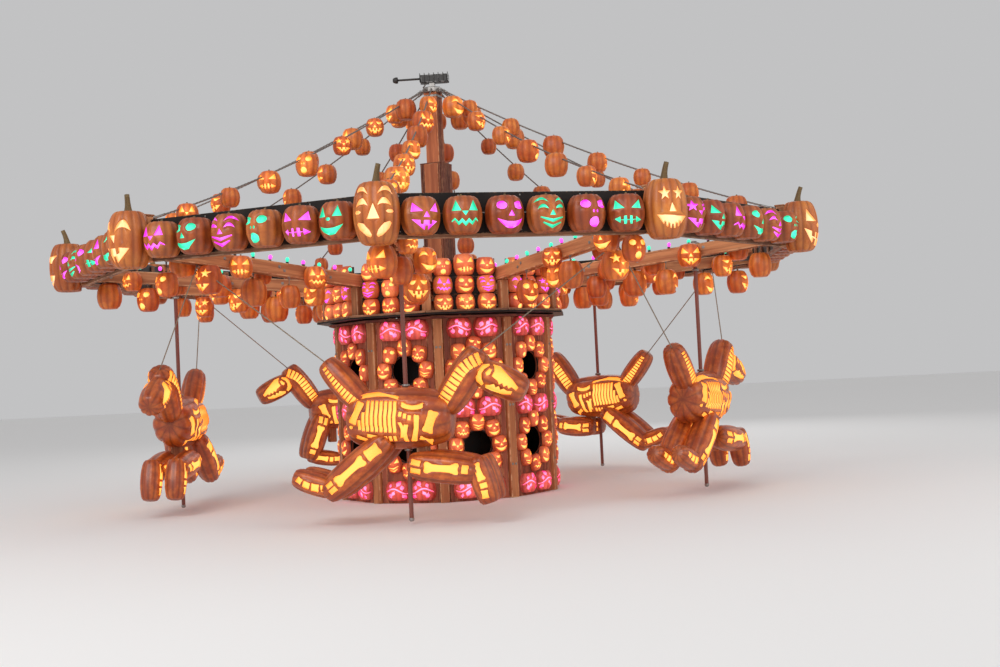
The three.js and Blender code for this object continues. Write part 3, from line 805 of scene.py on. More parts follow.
hollows = {
    "warmCut": ((0.95, 0.28, 0.03), (1.0, 0.66, 0.20), 1.5),
    "peachCut": ((0.90, 0.34, 0.10), (1.0, 0.72, 0.40), 1.35),
    "magentaCut": ((0.62, 0.02, 0.52), (1.0, 0.20, 0.90), 1.45),
    "greenCut": ((0.01, 0.42, 0.22), (0.10, 1.0, 0.60), 1.3),
    "amberCut": ((0.85, 0.24, 0.02), (1.0, 0.55, 0.11), 1.4),
    "vineCut": ((0.78, 0.02, 0.16), (1.0, 0.34, 0.58), 1.5),
}
lamps = {
    "warmLamp": ((1.0, 0.42, 0.10), (1.0, 0.78, 0.45), 2.0),
    "magentaLamp": ((0.85, 0.0, 0.5), (1.0, 0.10, 0.75), 1.5),
    "greenLamp": ((0.0, 0.5, 0.25), (0.04, 0.95, 0.55), 1.2),
}
litTables = ((hollows, 0.35, {"Roughness": 0.6}), (lamps, 0.1, {"Roughness": 0.15, "Coat Weight": 0.6}))
for table, blotch, settings in litTables:
    for lookName, (edge, core, strength) in table.items():
        makeLook(lookName, hollowGroup, {"Edge": edge, "Core": core, "Blotch": blotch}, strength=strength, **settings)
woods = {
    "timber": ((0.62, 0.25, 0.10), (0.38, 0.12, 0.045), (0.74, 0.42, 0.22)),
    "mastWood": ((0.62, 0.19, 0.07), (0.40, 0.10, 0.035), (0.74, 0.36, 0.17)),
    # the mast's slats: its own wood darkened as painted shade on the mast's sides and edges
    "slatWood": ((0.30, 0.085, 0.040), (0.15, 0.036, 0.018), (0.46, 0.20, 0.10)),
    "drumWood": ((0.42, 0.115, 0.055), (0.22, 0.05, 0.026), (0.58, 0.26, 0.13)),
    "railWood": ((0.36, 0.16, 0.08), (0.18, 0.07, 0.035), (0.52, 0.3, 0.17)),
    "stalk": ((0.30, 0.19, 0.07), (0.11, 0.065, 0.024), (0.40, 0.28, 0.12)),
    "rope": ((0.50, 0.41, 0.31), (0.26, 0.20, 0.14), (0.6, 0.5, 0.4)),
}
for woodName, (light, shadow, worn) in woods.items():
    makeLook(woodName, woodGroup, {"Light": light, "Dark": shadow, "Worn": worn}, 0.4, 0.0015)
paints = {
    "blackBoard": ((0.016, 0.012, 0.011), (0.045, 0.034, 0.028), (0.20, 0.12, 0.07), {"Specular IOR Level": 0.2}),
    "pole": ((0.23, 0.05, 0.03), (0.30, 0.11, 0.07), (0.42, 0.38, 0.34), {"Coat Weight": 0.5}),
    "housing": ((0.03, 0.027, 0.025), (0.07, 0.06, 0.055), (0.3, 0.29, 0.28), {}),
    # near-black painted shade, for the insides of the drum and the mast
    "darkInside": ((0.012, 0.008, 0.007), (0.03, 0.02, 0.015), (0.05, 0.03, 0.02), {"Specular IOR Level": 0.1}),
    "cable": ((0.30, 0.27, 0.25), (0.16, 0.10, 0.07), (0.4, 0.38, 0.36), {"Metallic": 0.85}),
    "steel": ((0.38, 0.36, 0.34), (0.20, 0.14, 0.10), (0.55, 0.54, 0.52), {"Metallic": 0.9}),
    "lampGlass": ((0.75, 0.80, 0.82), (0.55, 0.56, 0.54), (0.8, 0.8, 0.8), {"Transmission Weight": 0.7, "IOR": 1.5}),
}
for paintName, (paint, dust, bare, settings) in paints.items():
    makeLook(paintName, paintGroup, {"Paint": paint, "Dust": dust, "Bare": bare}, 0.15, 0.0008, **settings)
# frame nodes that keep their own mesh
makeLook("hiddenTimber", woodGroup, {"Light": (0.42, 0.24, 0.12), "Dark": (0.2, 0.1, 0.05)}, 0.4, 0.0015,
         (0.05, 1.0, 1.0))
makeLook("lidWood", woodGroup, {"Light": (0.32, 0.07, 0.04), "Dark": (0.14, 0.03, 0.02)}, 0.4, 0.0015,
         (1.0, 1.0, 1.0))
makeLook("greasedSteel", paintGroup, {"Paint": (0.36, 0.35, 0.33), "Dust": (0.12, 0.09, 0.06)}, 0.2, 0.001,
         (1.0, 1.0, 1.0), Metallic=0.9)
stillLooks = {"centre_post": "hiddenTimber", "drum_lid": "lidWood", "turntable_bearing": "greasedSteel"}
for nodeName, lookName in stillLooks.items():
    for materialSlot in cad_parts[nodeName].material_slots:
        materialSlot.material = looks[lookName]
print("materials ready")


# small hardware
def bolt(place, axis, size):
    # a six-sided head on a round washer, standing on a face that looks along the axis
    washer = lathe([(0, 0), (1.5, 0), (1.5, 0.18), (0, 0.18)], "steel", 10, False)
    head = lathe([(0, 0.1), (0.95, 0.1), (1, 0.2), (1, 0.7), (0.8, 0.82), (0, 0.82)], "steel", 6, False)
    turn = {"x": aboutY(pi / 2), "y": aboutX(-pi / 2), "-y": aboutX(pi / 2), "z": None}[axis]
    return moved(sized(join([washer, head]), size, size), turn, place)


def hoop(radius, thick, look, around=40, section=8):
    # a ring round x: radius plus thick times a cosine outwards, and thick times a sine along x
    i, j = (index.ravel() for index in np.meshgrid(np.arange(around), np.arange(section), indexing="ij"))
    a, b = i * (2 * pi / around), j * (2 * pi / section)
    r = radius + thick * np.cos(b)
    points = np.column_stack([thick * np.sin(b), r * np.cos(a), r * np.sin(a)])
    n, m = (i + 1) % around, (j + 1) % section
    faces = np.stack([i * section + j, n * section + j, n * section + m, i * section + m], 1)
    return turnOut(part(points, faces, look, tone=chance.uniform()))


def slab(xs, ys, zs, *rest):
    # a board between two places along each axis, given in either order
    return board(*np.sort([xs, ys, zs], axis=1).T, *rest)


# finishes of boards: the look, and how wide the cut and the worn edges are
thinSteel, thickSteel, blackEdge = ("steel", 0.001, 0.004), ("steel", 0.002, 0.006), ("blackBoard", 0.003, 0.01)
seam = 0.0005  # room between a piece and what it stands against


# drum
drum = {
    "turn": -3.0, "height": 1.896, "panelFace": 1.160, "panelThick": 0.022, "middleBoard": 0.38, "sideBoards": 2,
    "boardGap": 0.003, "postWide": 0.095, "postDeep": 0.070, "corner": 1.236, "postBolts": (0.35, 0.97, 1.6),
    "ledgerDeep": 0.04, "ledgerHigh": 0.09, "middleLedger": 0.93, "port": 0.150, "portRim": 0.007,
    "wreathCount": 8, "wreathRadius": 0.236, "wreathSize": 0.176, "wreathDepth": 0.068,
    "wreathHeights": (0.570, 1.375),
    "vineHeights": (0.130, 0.965, 1.792), "vineWide": 0.280, "vineHigh": 0.205, "vineDeep": 0.075, "vineAside": 0.145,
    "screen": 0.940, "screenThick": 0.016, "screenInset": 0.06, "baffleHalf": 0.01,
}
small = {"fullness": 0.75, "dip": 0.3, "start": -pi, "half": True, "groove": 0.13}
drumForm = dict(small, width=drum["wreathSize"], height=drum["wreathSize"], look="drumSkin", ribs=9, grid=(11, 7),
                depth=drum["wreathDepth"] * 2 / drum["wreathSize"], carve=0.012)
smallFaces = [
    ("wedge", "wedge", "smile"), ("round", "none", "gasp"), ("tall", "upturned", "smile"),
    ("smiling", "wedge", "saw"), ("wedge", "none", "bars"), ("sleepy", "button", "smile"),
]
wreathKinds = facesOn(drumForm, smallFaces, 4, "warmCut")
vineForm = dict(small, width=drum["vineWide"], height=drum["vineHigh"], look="vineSkin", ribs=10, grid=(16, 9),
                depth=drum["vineDeep"] * 2 / drum["vineWide"], carve=0.016)


def vine(bends, leaves):
    # a stem that waves as a sine across the front, and leaves that stand on it without touching each other
    def stem(x):
        return bends[0] * np.sin(bends[1] * x + bends[2])

    x = np.linspace(-0.93, 0.93, 13)
    holes = [strokeHole(np.column_stack([x, stem(x)]), 0.15)]
    holes += [leafHole(at, stem(at) + side * 0.115, long, long * 0.5, side * turn) for at, side, long, turn in leaves]
    return carved(vineForm, holesOf(holes, "vineCut"))


vineKinds = [
    vine((0.24, 3.4, 0.4), [(-0.62, 1, 0.74, 1.25), (-0.16, 1, 0.66, 1.0), (0.40, 1, 0.56, 1.9),
                            (-0.42, -1, 0.52, 1.7), (0.18, -1, 0.86, 1.9), (0.62, -1, 0.62, 1.6)]),
    vine((0.26, 3.0, 2.2), [(-0.56, 1, 0.56, 1.2), (0.02, 1, 0.80, 1.1), (0.56, 1, 0.66, 1.7),
                            (-0.62, -1, 0.72, 1.2), (-0.06, -1, 0.62, 2.0), (0.44, -1, 0.62, 1.0)]),
]
vineKinds += [mirrored(kind) for kind in vineKinds]


def makeDrumBay(k):
    # one side of the drum: boards with two ports, ledgers and a post, two wreaths and three rows of vines
    turn, name = outwards(stepAngle * (k + 0.5) + drum["turn"], False), f"{k + 1:02d}"
    front, back, high = drum["panelFace"], drum["panelFace"] - drum["panelThick"], drum["height"]
    half = drum["middleBoard"] / 2
    outline = [(-half, 0), (half, 0), (half, high), (-half, high)]
    ports = [ringOf(drum["port"], 32, (0, z)) for z in drum["wreathHeights"]]
    wood = [plate(outline, ports, back, front, "drumWood")]
    side = back * np.tan(halfStep) - drum["postWide"] / 2 / cos(halfStep) - 0.001
    wide = (side - half) / drum["sideBoards"]
    for i in range(drum["sideBoards"]):
        near, far = half + i * wide + drum["boardGap"], half + (i + 1) * wide
        wood += [slab((back, front), (way * near, way * far), (0, high), "drumWood", 0.003, 0.01) for way in (-1, 1)]
    for z in (0.0, drum["middleLedger"], high - drum["ledgerHigh"]):  # ledgers inside
        wood.append(slab((back - drum["ledgerDeep"], back - 0.001), (0.02 - side, side - 0.02),
                         (z, z + drum["ledgerHigh"]), "drumWood"))
    corner, half = drum["corner"], drum["postWide"] / 2
    post = [slab((corner - drum["postDeep"], corner), (-half, half), (0, high), "timber", 0.006)]
    post += [bolt((corner, y, z), "x", 0.009) for z in drum["postBolts"] for y in (-0.02, 0.02)]
    wood += [moved(p, aboutZ(halfStep)) for p in post]
    wood += [moved(hoop(drum["port"] + 0.004, drum["portRim"], "blackBoard"), None, (front + 0.002, 0, z))
             for z in drum["wreathHeights"]]
    makePiece("drumPanel_" + name, wood, turn, "base", "drum_panel", "drum_bay_" + name)
    wreaths, vines = [], []
    front -= 0.001
    for row, z in enumerate(drum["wreathHeights"]):
        for i in range(drum["wreathCount"]):
            angle = i * 2 * pi / drum["wreathCount"]
            kind = wreathKinds[(i * 5 + k * 3 + row) % len(wreathKinds)]
            place = (front, drum["wreathRadius"] * cos(angle), z + drum["wreathRadius"] * sin(angle))
            wreaths.append(moved(varied(kind), aboutX(chance.uniform(-0.2, 0.2)), place))
    for row, z in enumerate(drum["vineHeights"]):
        for i, y in enumerate((-drum["vineAside"], drum["vineAside"])):
            vines.append(moved(varied(vineKinds[(i * 2 + row + k) % len(vineKinds)]), None, (front, y, z)))
    makePiece("drumWreaths_" + name, [flat(p, 0, front) for p in wreaths], turn, "base", "pumpkin_skin")
    makePiece("drumVines_" + name, [flat(p, 0, front) for p in vines], turn, "base", "carved_shell")


def makeScreen():
    # boards in near-black painted shade inside the drum, with a baffle behind each corner, so that its ports look
    # dark as if in shadow
    r, heights = drum["screen"], (drum["screenInset"], drum["height"] - drum["screenInset"])
    half = r * np.tan(halfStep) - 0.004
    edges = np.linspace(-half, half, 4)
    boards = []
    for k in range(sides):
        turn = outwards(stepAngle * (k + 0.5) + drum["turn"], False)
        boards += [moved(slab((r - drum["screenThick"], r), (a, b - 0.002), heights, "darkInside"), turn)
                   for a, b in zip(edges[:-1], edges[1:])]
        baffle = slab((r / cos(halfStep) - 0.002, drum["corner"] - drum["postDeep"] - 0.001),
                      (-drum["baffleHalf"], drum["baffleHalf"]), heights, "darkInside")
        boards.append(moved(baffle, outwards(stepAngle * k + drum["turn"], False)))
    makePiece("drumShadeScreen", boards, None, "base", "drum_panel")


for k in range(sides):
    makeDrumBay(k)
makeScreen()
print("drum dressed")


# whole pumpkins, built once in each face and then scaled and turned
wholeForm = {"start": -pi, "width": 1.0, "height": 1.0, "fullness": 0.95, "dip": 0.38, "groove": 0.11}
hungForm = dict(wholeForm, carve=0.10, look="hungSkin", fullness=1.02, dip=0.34)
bodyKinds = {
    "squat": dict(hungForm, ribs=9, grid=(27, 12)),
    "plain": dict(hungForm, ribs=10, grid=(30, 10)),
    "row": dict(wholeForm, ribs=11, grid=(33, 14), carve=0.085, look="ringSkin"),
    "corner": dict(wholeForm, ribs=12, grid=(60, 26), carve=0.07, look="cornerSkin", groove=0.10),
}
smallStalk = stalk(0.17, 0.05, 0.05, 6, 4)
mixedFaces = [
    ("wedge", "wedge", "grin"), ("smiling", "none", "smile"), ("round", "slits", "gasp"), ("tall", "upturned", "saw"),
    ("sleepy", "wedge", "wide"), ("wedge", "none", "band"), ("round", "wedge", "smile"), ("star", "upturned", "grin"),
    ("tall", "button", "smile"), ("browed", "wedge", "bars"),
]


def withStalk(body):
    return join([body, moved(smallStalk, None, (0, 0, 0.40))])


hungKinds = [withStalk(body) for body in facesOn(bodyKinds["squat"], mixedFaces[:8], 6, "warmCut")]
plainKind = withStalk(carved(bodyKinds["plain"], []))
rowKinds = facesOn(bodyKinds["row"], mixedFaces, 8, "magentaCut")
cornerFaces = [
    ("browed", "broad", "split"), ("wedge", "slits", "wide"), ("smiling", "upturned", "grin"),
    ("spark", "wedge", "toothy"), ("sleepy", "wedge", "grin"),
]
cornerTurns = {1: -0.32, 2: -0.15, 9: 0.12}  # in radians, by arm; the others look straight out
cornerKinds = facesOn(bodyKinds["corner"], cornerFaces, 12, "peachCut")


def spread(i, j):
    # sizes differ by up to an eighth, as a sine of the arm and the place on it
    return 1 + 0.12 * sin(2.4 * i + 1.7 * j)


def onLine(kind, size, tall, turn, place):
    # one pumpkin in a tone of its own, with its height in widths, turned by a number or within a range
    p = sized(varied(kind), size, size * tall)
    return moved(p, aboutZ(chance.uniform(*turn) if isinstance(turn, tuple) else turn), place)


# arms, with what they carry
arm = {
    "start": 0.2256, "end": 3.790, "rise": 0.0829, "topAtAxis": 2.298, "deep": 0.130, "thick": 0.038, "gap": 0.052,
    "spacers": (0.62, 1.08, 1.75, 2.35, 3.0, 3.6), "spacerHalf": 0.06, "spacerHeights": (-0.11, -0.012),
    "post": (3.790, 3.880, 2.440, 2.850), "capAside": 0.008, "capHigh": 0.016,
    "crownPost": (1.270, 1.350, 1.9534), "crownPostHalf": 0.045,
    "strapThick": 0.0035, "strapBack": 0.16, "strapHeights": (-0.095, -0.045),
    "strapBolts": (-0.13, -0.06, 0.03, 0.06), "plateThick": 0.004, "plateEnds": (0.005, 0.17),
    "plateHeights": (-0.10, -0.03), "plateBolts": (0.04, 0.09, 0.14),
    "lampStart": 0.55, "lampPitch": 0.21, "lampCount": 15, "lampAbove": 0.016, "lampWire": 0.0045,
    "cornerPlace": (4.0, 2.63), "cornerSize": (0.383, 0.50), "cornerBack": 3.8795, "stem": (0.19, 0.030, 0.045),
}
beamRow = {"places": (2.0, 2.45, 2.9, 3.35), "size": 0.225, "tall": 0.95, "aside": 0.34, "below": 0.12}
hungRow = {
    "places": (1.85, 2.25, 2.62, 3.2, 3.6), "size": 0.235, "tall": 1.05, "drop": 0.175, "sway": 0.045, "aside": 0.045,
    "rod": 0.0035, "eye": (0.011, 0.0025), "sling": (0.024, 0.003),
}
ways = ((-1, "-y"), (1, "y"))  # the two sides of an arm, and the way that a bolt there looks
armHalf = arm["gap"] / 2 + arm["thick"]
bulbHigh = 0.056
bulb = [(0, 0), (0.011, 0), (0.013, 0.012), (0.018, 0.022), (0.021, 0.034), (0.017, 0.047), (0.008, 0.055),
        (0, bulbHigh)]
socket = [(0, -0.012), (0.014, -0.012), (0.015, 0.006), (0.012, 0.012), (0, 0.012)]
hookPlate = [(0, 0), (0.016, 0), (0.016, -0.004), (0.008, -0.012), (0, -0.012)]
lampSlots = {"warmLamp": "warm_glow", "magentaLamp": "magenta_glow", "greenLamp": "green_glow"}
lampParts, socketParts = {look: [] for look in lampSlots}, []


def armTop(r):
    # an arm's top edge rises evenly with the distance from the axis
    return arm["topAtAxis"] + arm["rise"] * r


def armSlab(*sizes):
    # a board whose heights count from the arm's top edge, at each point's distance from the axis
    p = slab(*sizes)
    return dict(p, points=p["points"] + armTop(p["points"][:, :1]) * [0, 0, 1])


def makeArmTimber(turn, name):
    # two planks with blocks between them, a post at the ring and one under the crown, straps and plates
    inner, deep = arm["gap"] / 2, arm["deep"]
    wood = [armSlab((arm["start"], arm["end"]), (way * inner, way * armHalf), (-deep, 0)) for way, _ in ways]
    iron = []
    for r in arm["spacers"]:
        half = arm["spacerHalf"]
        wood.append(armSlab((r - half, r + half), (0.001 - inner, inner - 0.001), arm["spacerHeights"]))
        iron += [bolt((r + dx, way * armHalf, armTop(r) - 0.062 + dx * 0.6), axis, 0.011)
                 for way, axis in ways for dx in (-0.03, 0.03)]
    a, b, low, high = arm["post"]
    wide = armHalf + arm["capAside"]
    wood.append(slab((a + seam, b), (-armHalf, armHalf), (low, high), "timber", 0.006))
    wood.append(slab((a - 0.012, b), (-wide, wide), (high - 0.001, high + arm["capHigh"]), "timber", 0.005))
    for way, axis in ways:  # strap from each plank round the post
        edge = way * (armHalf + arm["strapThick"])
        ends = (a - arm["strapBack"], b - 0.012)
        iron.append(armSlab(ends, (way * armHalf, edge), arm["strapHeights"], *thinSteel))
        iron += [bolt((a + dx, edge, armTop(a + dx) - 0.07), axis, 0.009) for dx in arm["strapBolts"]]
    a, b, low = arm["crownPost"]
    half, under = arm["crownPostHalf"], armTop(a) - deep
    wood.append(slab((a, b), (-half, half), (low, under - 0.001), "timber", 0.004))
    wood.append(slab((a + 0.004, b - 0.004), (0.002 - inner, inner - 0.002), (under - 0.02, armTop(a) - 0.006)))
    start, ends = arm["start"], [arm["start"] + x for x in arm["plateEnds"]]
    for way, axis in ways:  # plates at the hub
        edge = way * (armHalf + arm["plateThick"])
        low, high = sorted((way * armHalf, edge))
        iron.append(armSlab(ends, (low * 0.999, high), arm["plateHeights"], *thinSteel))
        iron += [bolt((start + dx, edge, armTop(start) - 0.065), axis, 0.009) for dx in arm["plateBolts"]]
    makePiece("armTimber_" + name, wood, turn, "canopy", "timber", "arm_" + name)
    makePiece("armIronwork_" + name, iron, turn, "canopy", "steel")


def makeArmPumpkins(k, turn, name):
    # some beside the planks, flat against them, and others hung beneath on hooks, rods and slings
    heads, hooks = [], []
    for i, r in enumerate(beamRow["places"]):
        size, way = beamRow["size"] * spread(k, i), 1 if (i + k) % 2 else -1
        facing = way * pi / 2 - way * chance.uniform(0.35, 1.0)
        place = (r, way * (armHalf + beamRow["aside"] * size), armTop(r) - beamRow["below"])
        p = onLine(hungKinds[(3 * k + i) % len(hungKinds)], size, beamRow["tall"], facing, place)
        heads.append(flat(p, 1, way * (armHalf + seam), way > 0))
    for i, r in enumerate(hungRow["places"]):
        size, under = hungRow["size"] * spread(k + 3, i), armTop(r) - arm["deep"]
        y = (1 if i % 2 else -1) * hungRow["aside"]
        z = under - hungRow["drop"] - hungRow["sway"] * sin(1.9 * k + 2.3 * i)
        plain = (2 * k + 3 * i) % 4 == (2 if k == 0 else 0)
        kind = plainKind if plain else hungKinds[(5 * k + 3 * i + 1) % len(hungKinds)]
        heads.append(onLine(kind, size, hungRow["tall"], (-1.1, 1.1), (r, y, z)))
        hooks.append(tube(np.linspace([r, y, z + 0.3 * size], [r, y, under - 0.012], 3), hungRow["rod"], "cable", 6))
        hooks.append(moved(lathe(hookPlate, "steel", 10), None, (r, y, under + 0.001)))
        hooks.append(moved(hoop(*hungRow["eye"], "steel", 14, 6), None, (r, y, under - 0.02)))
        hooks.append(moved(hoop(*hungRow["sling"], "cable", 16, 6), aboutY(pi / 2), (r, y, z + 0.50 * size)))
    makePiece("armPumpkins_" + name, heads, turn, "canopy", "pumpkin_skin")
    makePiece("armHooks_" + name, hooks, turn, "canopy", "steel_cable")


def makeCorner(k, turn, name):
    # the big pumpkin at the end of an arm, flat against its post, and the stalk on it
    (wide, tall), (r, height) = arm["cornerSize"], arm["cornerPlace"]
    big = sized(varied(cornerKinds[(k * 3) % len(cornerKinds)]), wide, tall)
    big = flat(moved(big, aboutZ(cornerTurns.get(k, 0.0)), (r, 0, height)), 0, arm["cornerBack"])
    stem = stalk(*arm["stem"], 10, 9)
    stem = moved(varied(stem), aboutZ(chance.uniform(-1.2, 1.2)), (r, 0, height + 0.42 * tall))
    makePiece("cornerPumpkin_" + name, [big], turn, "canopy", "carved_shell")
    makePiece("cornerStalk_" + name, [stem], turn, "canopy", "stalk")


def addArmLamps(k, turn):
    # a wire along the arm's top edge with lamps at one pitch; their mark grows from foot to tip
    start, pitch, count = arm["lampStart"], arm["lampPitch"], arm["lampCount"]
    r = np.linspace(start - 0.12, start + pitch * (count - 0.6), 8)
    wire = tube(np.column_stack([r, 0 * r, armTop(r) + 0.004]), arm["lampWire"], "housing", 6)
    socketParts.append(moved(wire, turn))
    for i in range(count):
        r = start + pitch * i
        look = "warmLamp" if i < 2 else ("magentaLamp", "greenLamp")[(i + k) % 2]
        place = turn @ np.array([r, (-1) ** i * 0.004, armTop(r) + arm["lampAbove"]])
        lean = turn @ aboutY(chance.uniform(-0.3, 0.3)) @ aboutX(chance.uniform(-0.3, 0.3))
        lamp = lathe(bulb, look, 8)
        lamp["mark"] = 0.4 + 0.6 * np.clip(lamp["points"][:, 2] / bulbHigh, 0, 1)
        lampParts[look].append(moved(lamp, lean, place))
        socketParts.append(moved(lathe(socket, "housing", 8), lean, place))


def makeArm(k):
    turn, name = outwards(stepAngle * k), f"{k + 1:02d}"
    makeArmTimber(turn, name)
    makeArmPumpkins(k, turn, name)
    makeCorner(k, turn, name)
    addArmLamps(k, turn)


for k in range(sides):
    makeArm(k)
for look, slotName in lampSlots.items():
    makePiece("arm" + look[0].upper() + look[1:] + "s", lampParts[look], None, "canopy", slotName)
makePiece("armLampSockets", socketParts, None, "canopy", "lamp_housing")
print("arms dressed")

# ring boards and their row of pumpkins
ring = {
    "face": 3.658, "thick": 0.018, "low": 2.440, "high": 2.820, "boards": 2, "railHigh": 0.034, "railDeep": 0.042,
    "cleats": (-0.75, -0.25, 0.25, 0.75), "cleatHalf": 0.035, "cleatDeep": 0.024,
    "screws": (-1.03, -0.53, 0.0, 0.53, 1.03), "screwApart": 0.06,
    "count": 6, "pitch": 0.353, "wide": 0.330, "tall": 0.306, "centre": 3.800, "height": 2.605,
}


def reach(radius):
    # half the length of a board at this radius between two arms, on whose planks its ends stop
    return (radius * sin(halfStep) - armHalf - 0.001) / cos(halfStep)


def makeFascia(k):
    # black boards between two arms, a rail beneath, cleats behind, and the row of pumpkins in front
    turn, name = outwards(stepAngle * (k + 0.5)), f"{k + 1:02d}"
    front, high, half = ring["face"], ring["high"], ring["cleatHalf"]
    back, railIn, low = front - ring["thick"], front - ring["railDeep"], ring["low"] + ring["railHigh"]
    each = (high - low) / ring["boards"]
    wood = [slab((back, front), (-reach(back), reach(back)), (low + i * each + 0.0015, low + (i + 1) * each - 0.0015),
                 *blackEdge) for i in range(ring["boards"])]
    rail = [slab((railIn, front + 0.004), (-reach(railIn), reach(railIn)), (ring["low"], low), "railWood", 0.004,
                 0.012)]
    rail += [slab((back - ring["cleatDeep"], back - seam), (y - half, y + half), (low, high - 0.02), "railWood")
             for y in ring["cleats"]]
    wood += [bolt((front, y, low + each * (i + 0.5) + dz), "x", 0.0045) for y in ring["screws"]
             for i in range(ring["boards"]) for dz in (-ring["screwApart"], ring["screwApart"])]
    makePiece("ringBoards_" + name, wood, turn, "canopy", "black_board", "fascia_" + name)
    makePiece("ringRail_" + name, rail, turn, "canopy", "timber")
    heads = []
    for i in range(ring["count"]):
        kind = rowKinds[(7 * k + 3 * i) % len(rowKinds)]
        if i % 2:
            kind = relooked(kind, "magentaCut", "greenCut")
        place = np.array([ring["centre"], (i - (ring["count"] - 1) / 2) * ring["pitch"], ring["height"]])
        p = moved(sized(varied(kind), ring["wide"], ring["tall"]), aboutZ(chance.uniform(-0.22, 0.22)), place)
        stem = sized(varied(smallStalk), 0.3, 0.3)
        stem = moved(stem, aboutZ(chance.uniform(-2, 2)), place + [0, 0, 0.4 * ring["tall"]])
        heads += [flat(p, 0, front - seam), stem]
    makePiece("ringPumpkins_" + name, heads, turn, "canopy", "pumpkin_skin")


for k in range(sides):
    makeFascia(k)
print("ring dressed")

# crown round the hub
crown = {
    "face": 1.245, "back": 1.227, "outer": 1.420, "inner": 1.090, "bottom": 1.935, "thick": 0.018, "top": 2.500,
    "boards": 3, "lip": (0.018, 0.022), "cleats": (-0.22, 0.22), "cleatHalf": 0.03,
    "first": 2.047, "pitch": (0.230, 0.187), "wide": 0.208, "tall": 0.185, "deep": 0.095, "bigger": (1.15, 1.1, 1.22),
}
crownForm = dict(small, width=crown["wide"], height=crown["tall"], look="crownSkin", ribs=9, grid=(14, 9),
                 depth=crown["deep"] * 2 / crown["wide"], carve=0.014)
crownKinds = facesOn(crownForm, mixedFaces, 5, "warmCut")


def makeCrownTray(t):
    # trays, boards and cleats on both sides of an arm, and three rows of pumpkins on each
    turn, name = outwards(stepAngle * 2 * t), f"{t + 1:02d}"
    front, back, top, low = crown["face"], crown["back"], crown["top"], crown["bottom"] + crown["thick"]
    near, far = (crown[key] * cos(halfStep) for key in ("inner", "outer"))
    nearHalf, farHalf = (crown[key] * sin(halfStep) for key in ("inner", "outer"))
    ends, half, each = (-reach(back), reach(back)), crown["cleatHalf"], (top - low) / crown["boards"]
    wood, heads = [], []
    for way in (-1, 1):  # one side of the crown to the left of the arm, and one to its right
        swing = aboutZ(way * halfStep)
        outline = [(0.001 - nearHalf, near), (nearHalf - 0.001, near), (farHalf - 0.001, far), (0.001 - farHalf, far)]
        tray = plate(outline, [], crown["bottom"], low, "blackBoard")
        parts = [turnOut(dict(tray, points=tray["points"][:, [2, 1, 0]]))]
        deep, high = crown["lip"]
        parts.append(slab((far - 0.002 - deep, far - 0.002), (0.006 - farHalf, farHalf - 0.006), (low, low + high),
                          "railWood", 0.003, 0.008))
        parts += [slab((back, front), ends, (low + i * each + 0.001, low + (i + 1) * each - 0.001), *blackEdge)
                  for i in range(crown["boards"])]
        parts += [slab((back - 0.03, back - seam), (y - half, y + half), (low, top - 0.01), "railWood")
                  for y in crown["cleats"]]
        wood += [moved(p, swing) for p in parts]
        for row in range(3):
            for column in (-1, 0, 1):
                n = row * 3 + column + 1
                kind = crownKinds[(n * 3 + 2 * t + (way > 0) * 4) % len(crownKinds)]
                if row == 1 and column:
                    kind = relooked(kind, "warmCut", "magentaCut")
                place = [front - seam, column * crown["pitch"][0], crown["first"] + row * crown["pitch"][1]]
                p = varied(kind)
                if row == 2 and column == 0 and way > 0:  # one bigger pumpkin on top
                    p = dict(p, points=p["points"] * crown["bigger"])
                    place[2] += 0.02
                p = moved(p, aboutX(chance.uniform(-0.08, 0.08)), place)
                heads.append(moved(flat(p, 0, place[0]), swing))
    makePiece("crownBoards_" + name, wood, turn, "canopy", "black_board", "crown_tray_" + name)
    makePiece("crownPumpkins_" + name, heads, turn, "canopy", "pumpkin_skin")


for t in range(sides // 2):
    makeCrownTray(t)
print("crown dressed")

# roof cables
roof = {
    "high": 4.550, "low": 2.832, "start": 0.1165, "end": 3.7855, "sag": 0.115, "strand": 0.0048, "lay": 0.13,
    "eyes": (0.006, 0.994), "eye": (0.016, 0.004),
    "sleeves": ((0.01, 0.018, 0.013), (0.955, 0.985, 0.012), (0.982, 0.99, 0.016)),
    "count": 7, "first": 0.09, "last": 0.89, "size": 0.215, "tall": 0.95, "below": 0.36,
}


def cablePoint(t):
    # a curve of the second degree whose middle hangs below the straight line by the sag
    a, b = np.array([roof["start"], 0, roof["high"]]), np.array([roof["end"], 0, roof["low"]])
    c = (a + b) / 2 - [0, 0, 2 * roof["sag"]]
    t = np.asarray(t, float)[..., None]
    return a * (1 - t) ** 2 + 2 * c * t * (1 - t) + b * t**2


def strandsRound(line, run, up, side, lay, away, thick, look):
    # three strands, each of which winds round the middle line once in every lay
    angles = [(run / lay * 2 * pi + i * 2 * pi / 3)[:, None] for i in range(3)]
    return [tube(line + away * (np.cos(angle) * up + np.sin(angle) * side), thick, look, 5) for angle in angles]


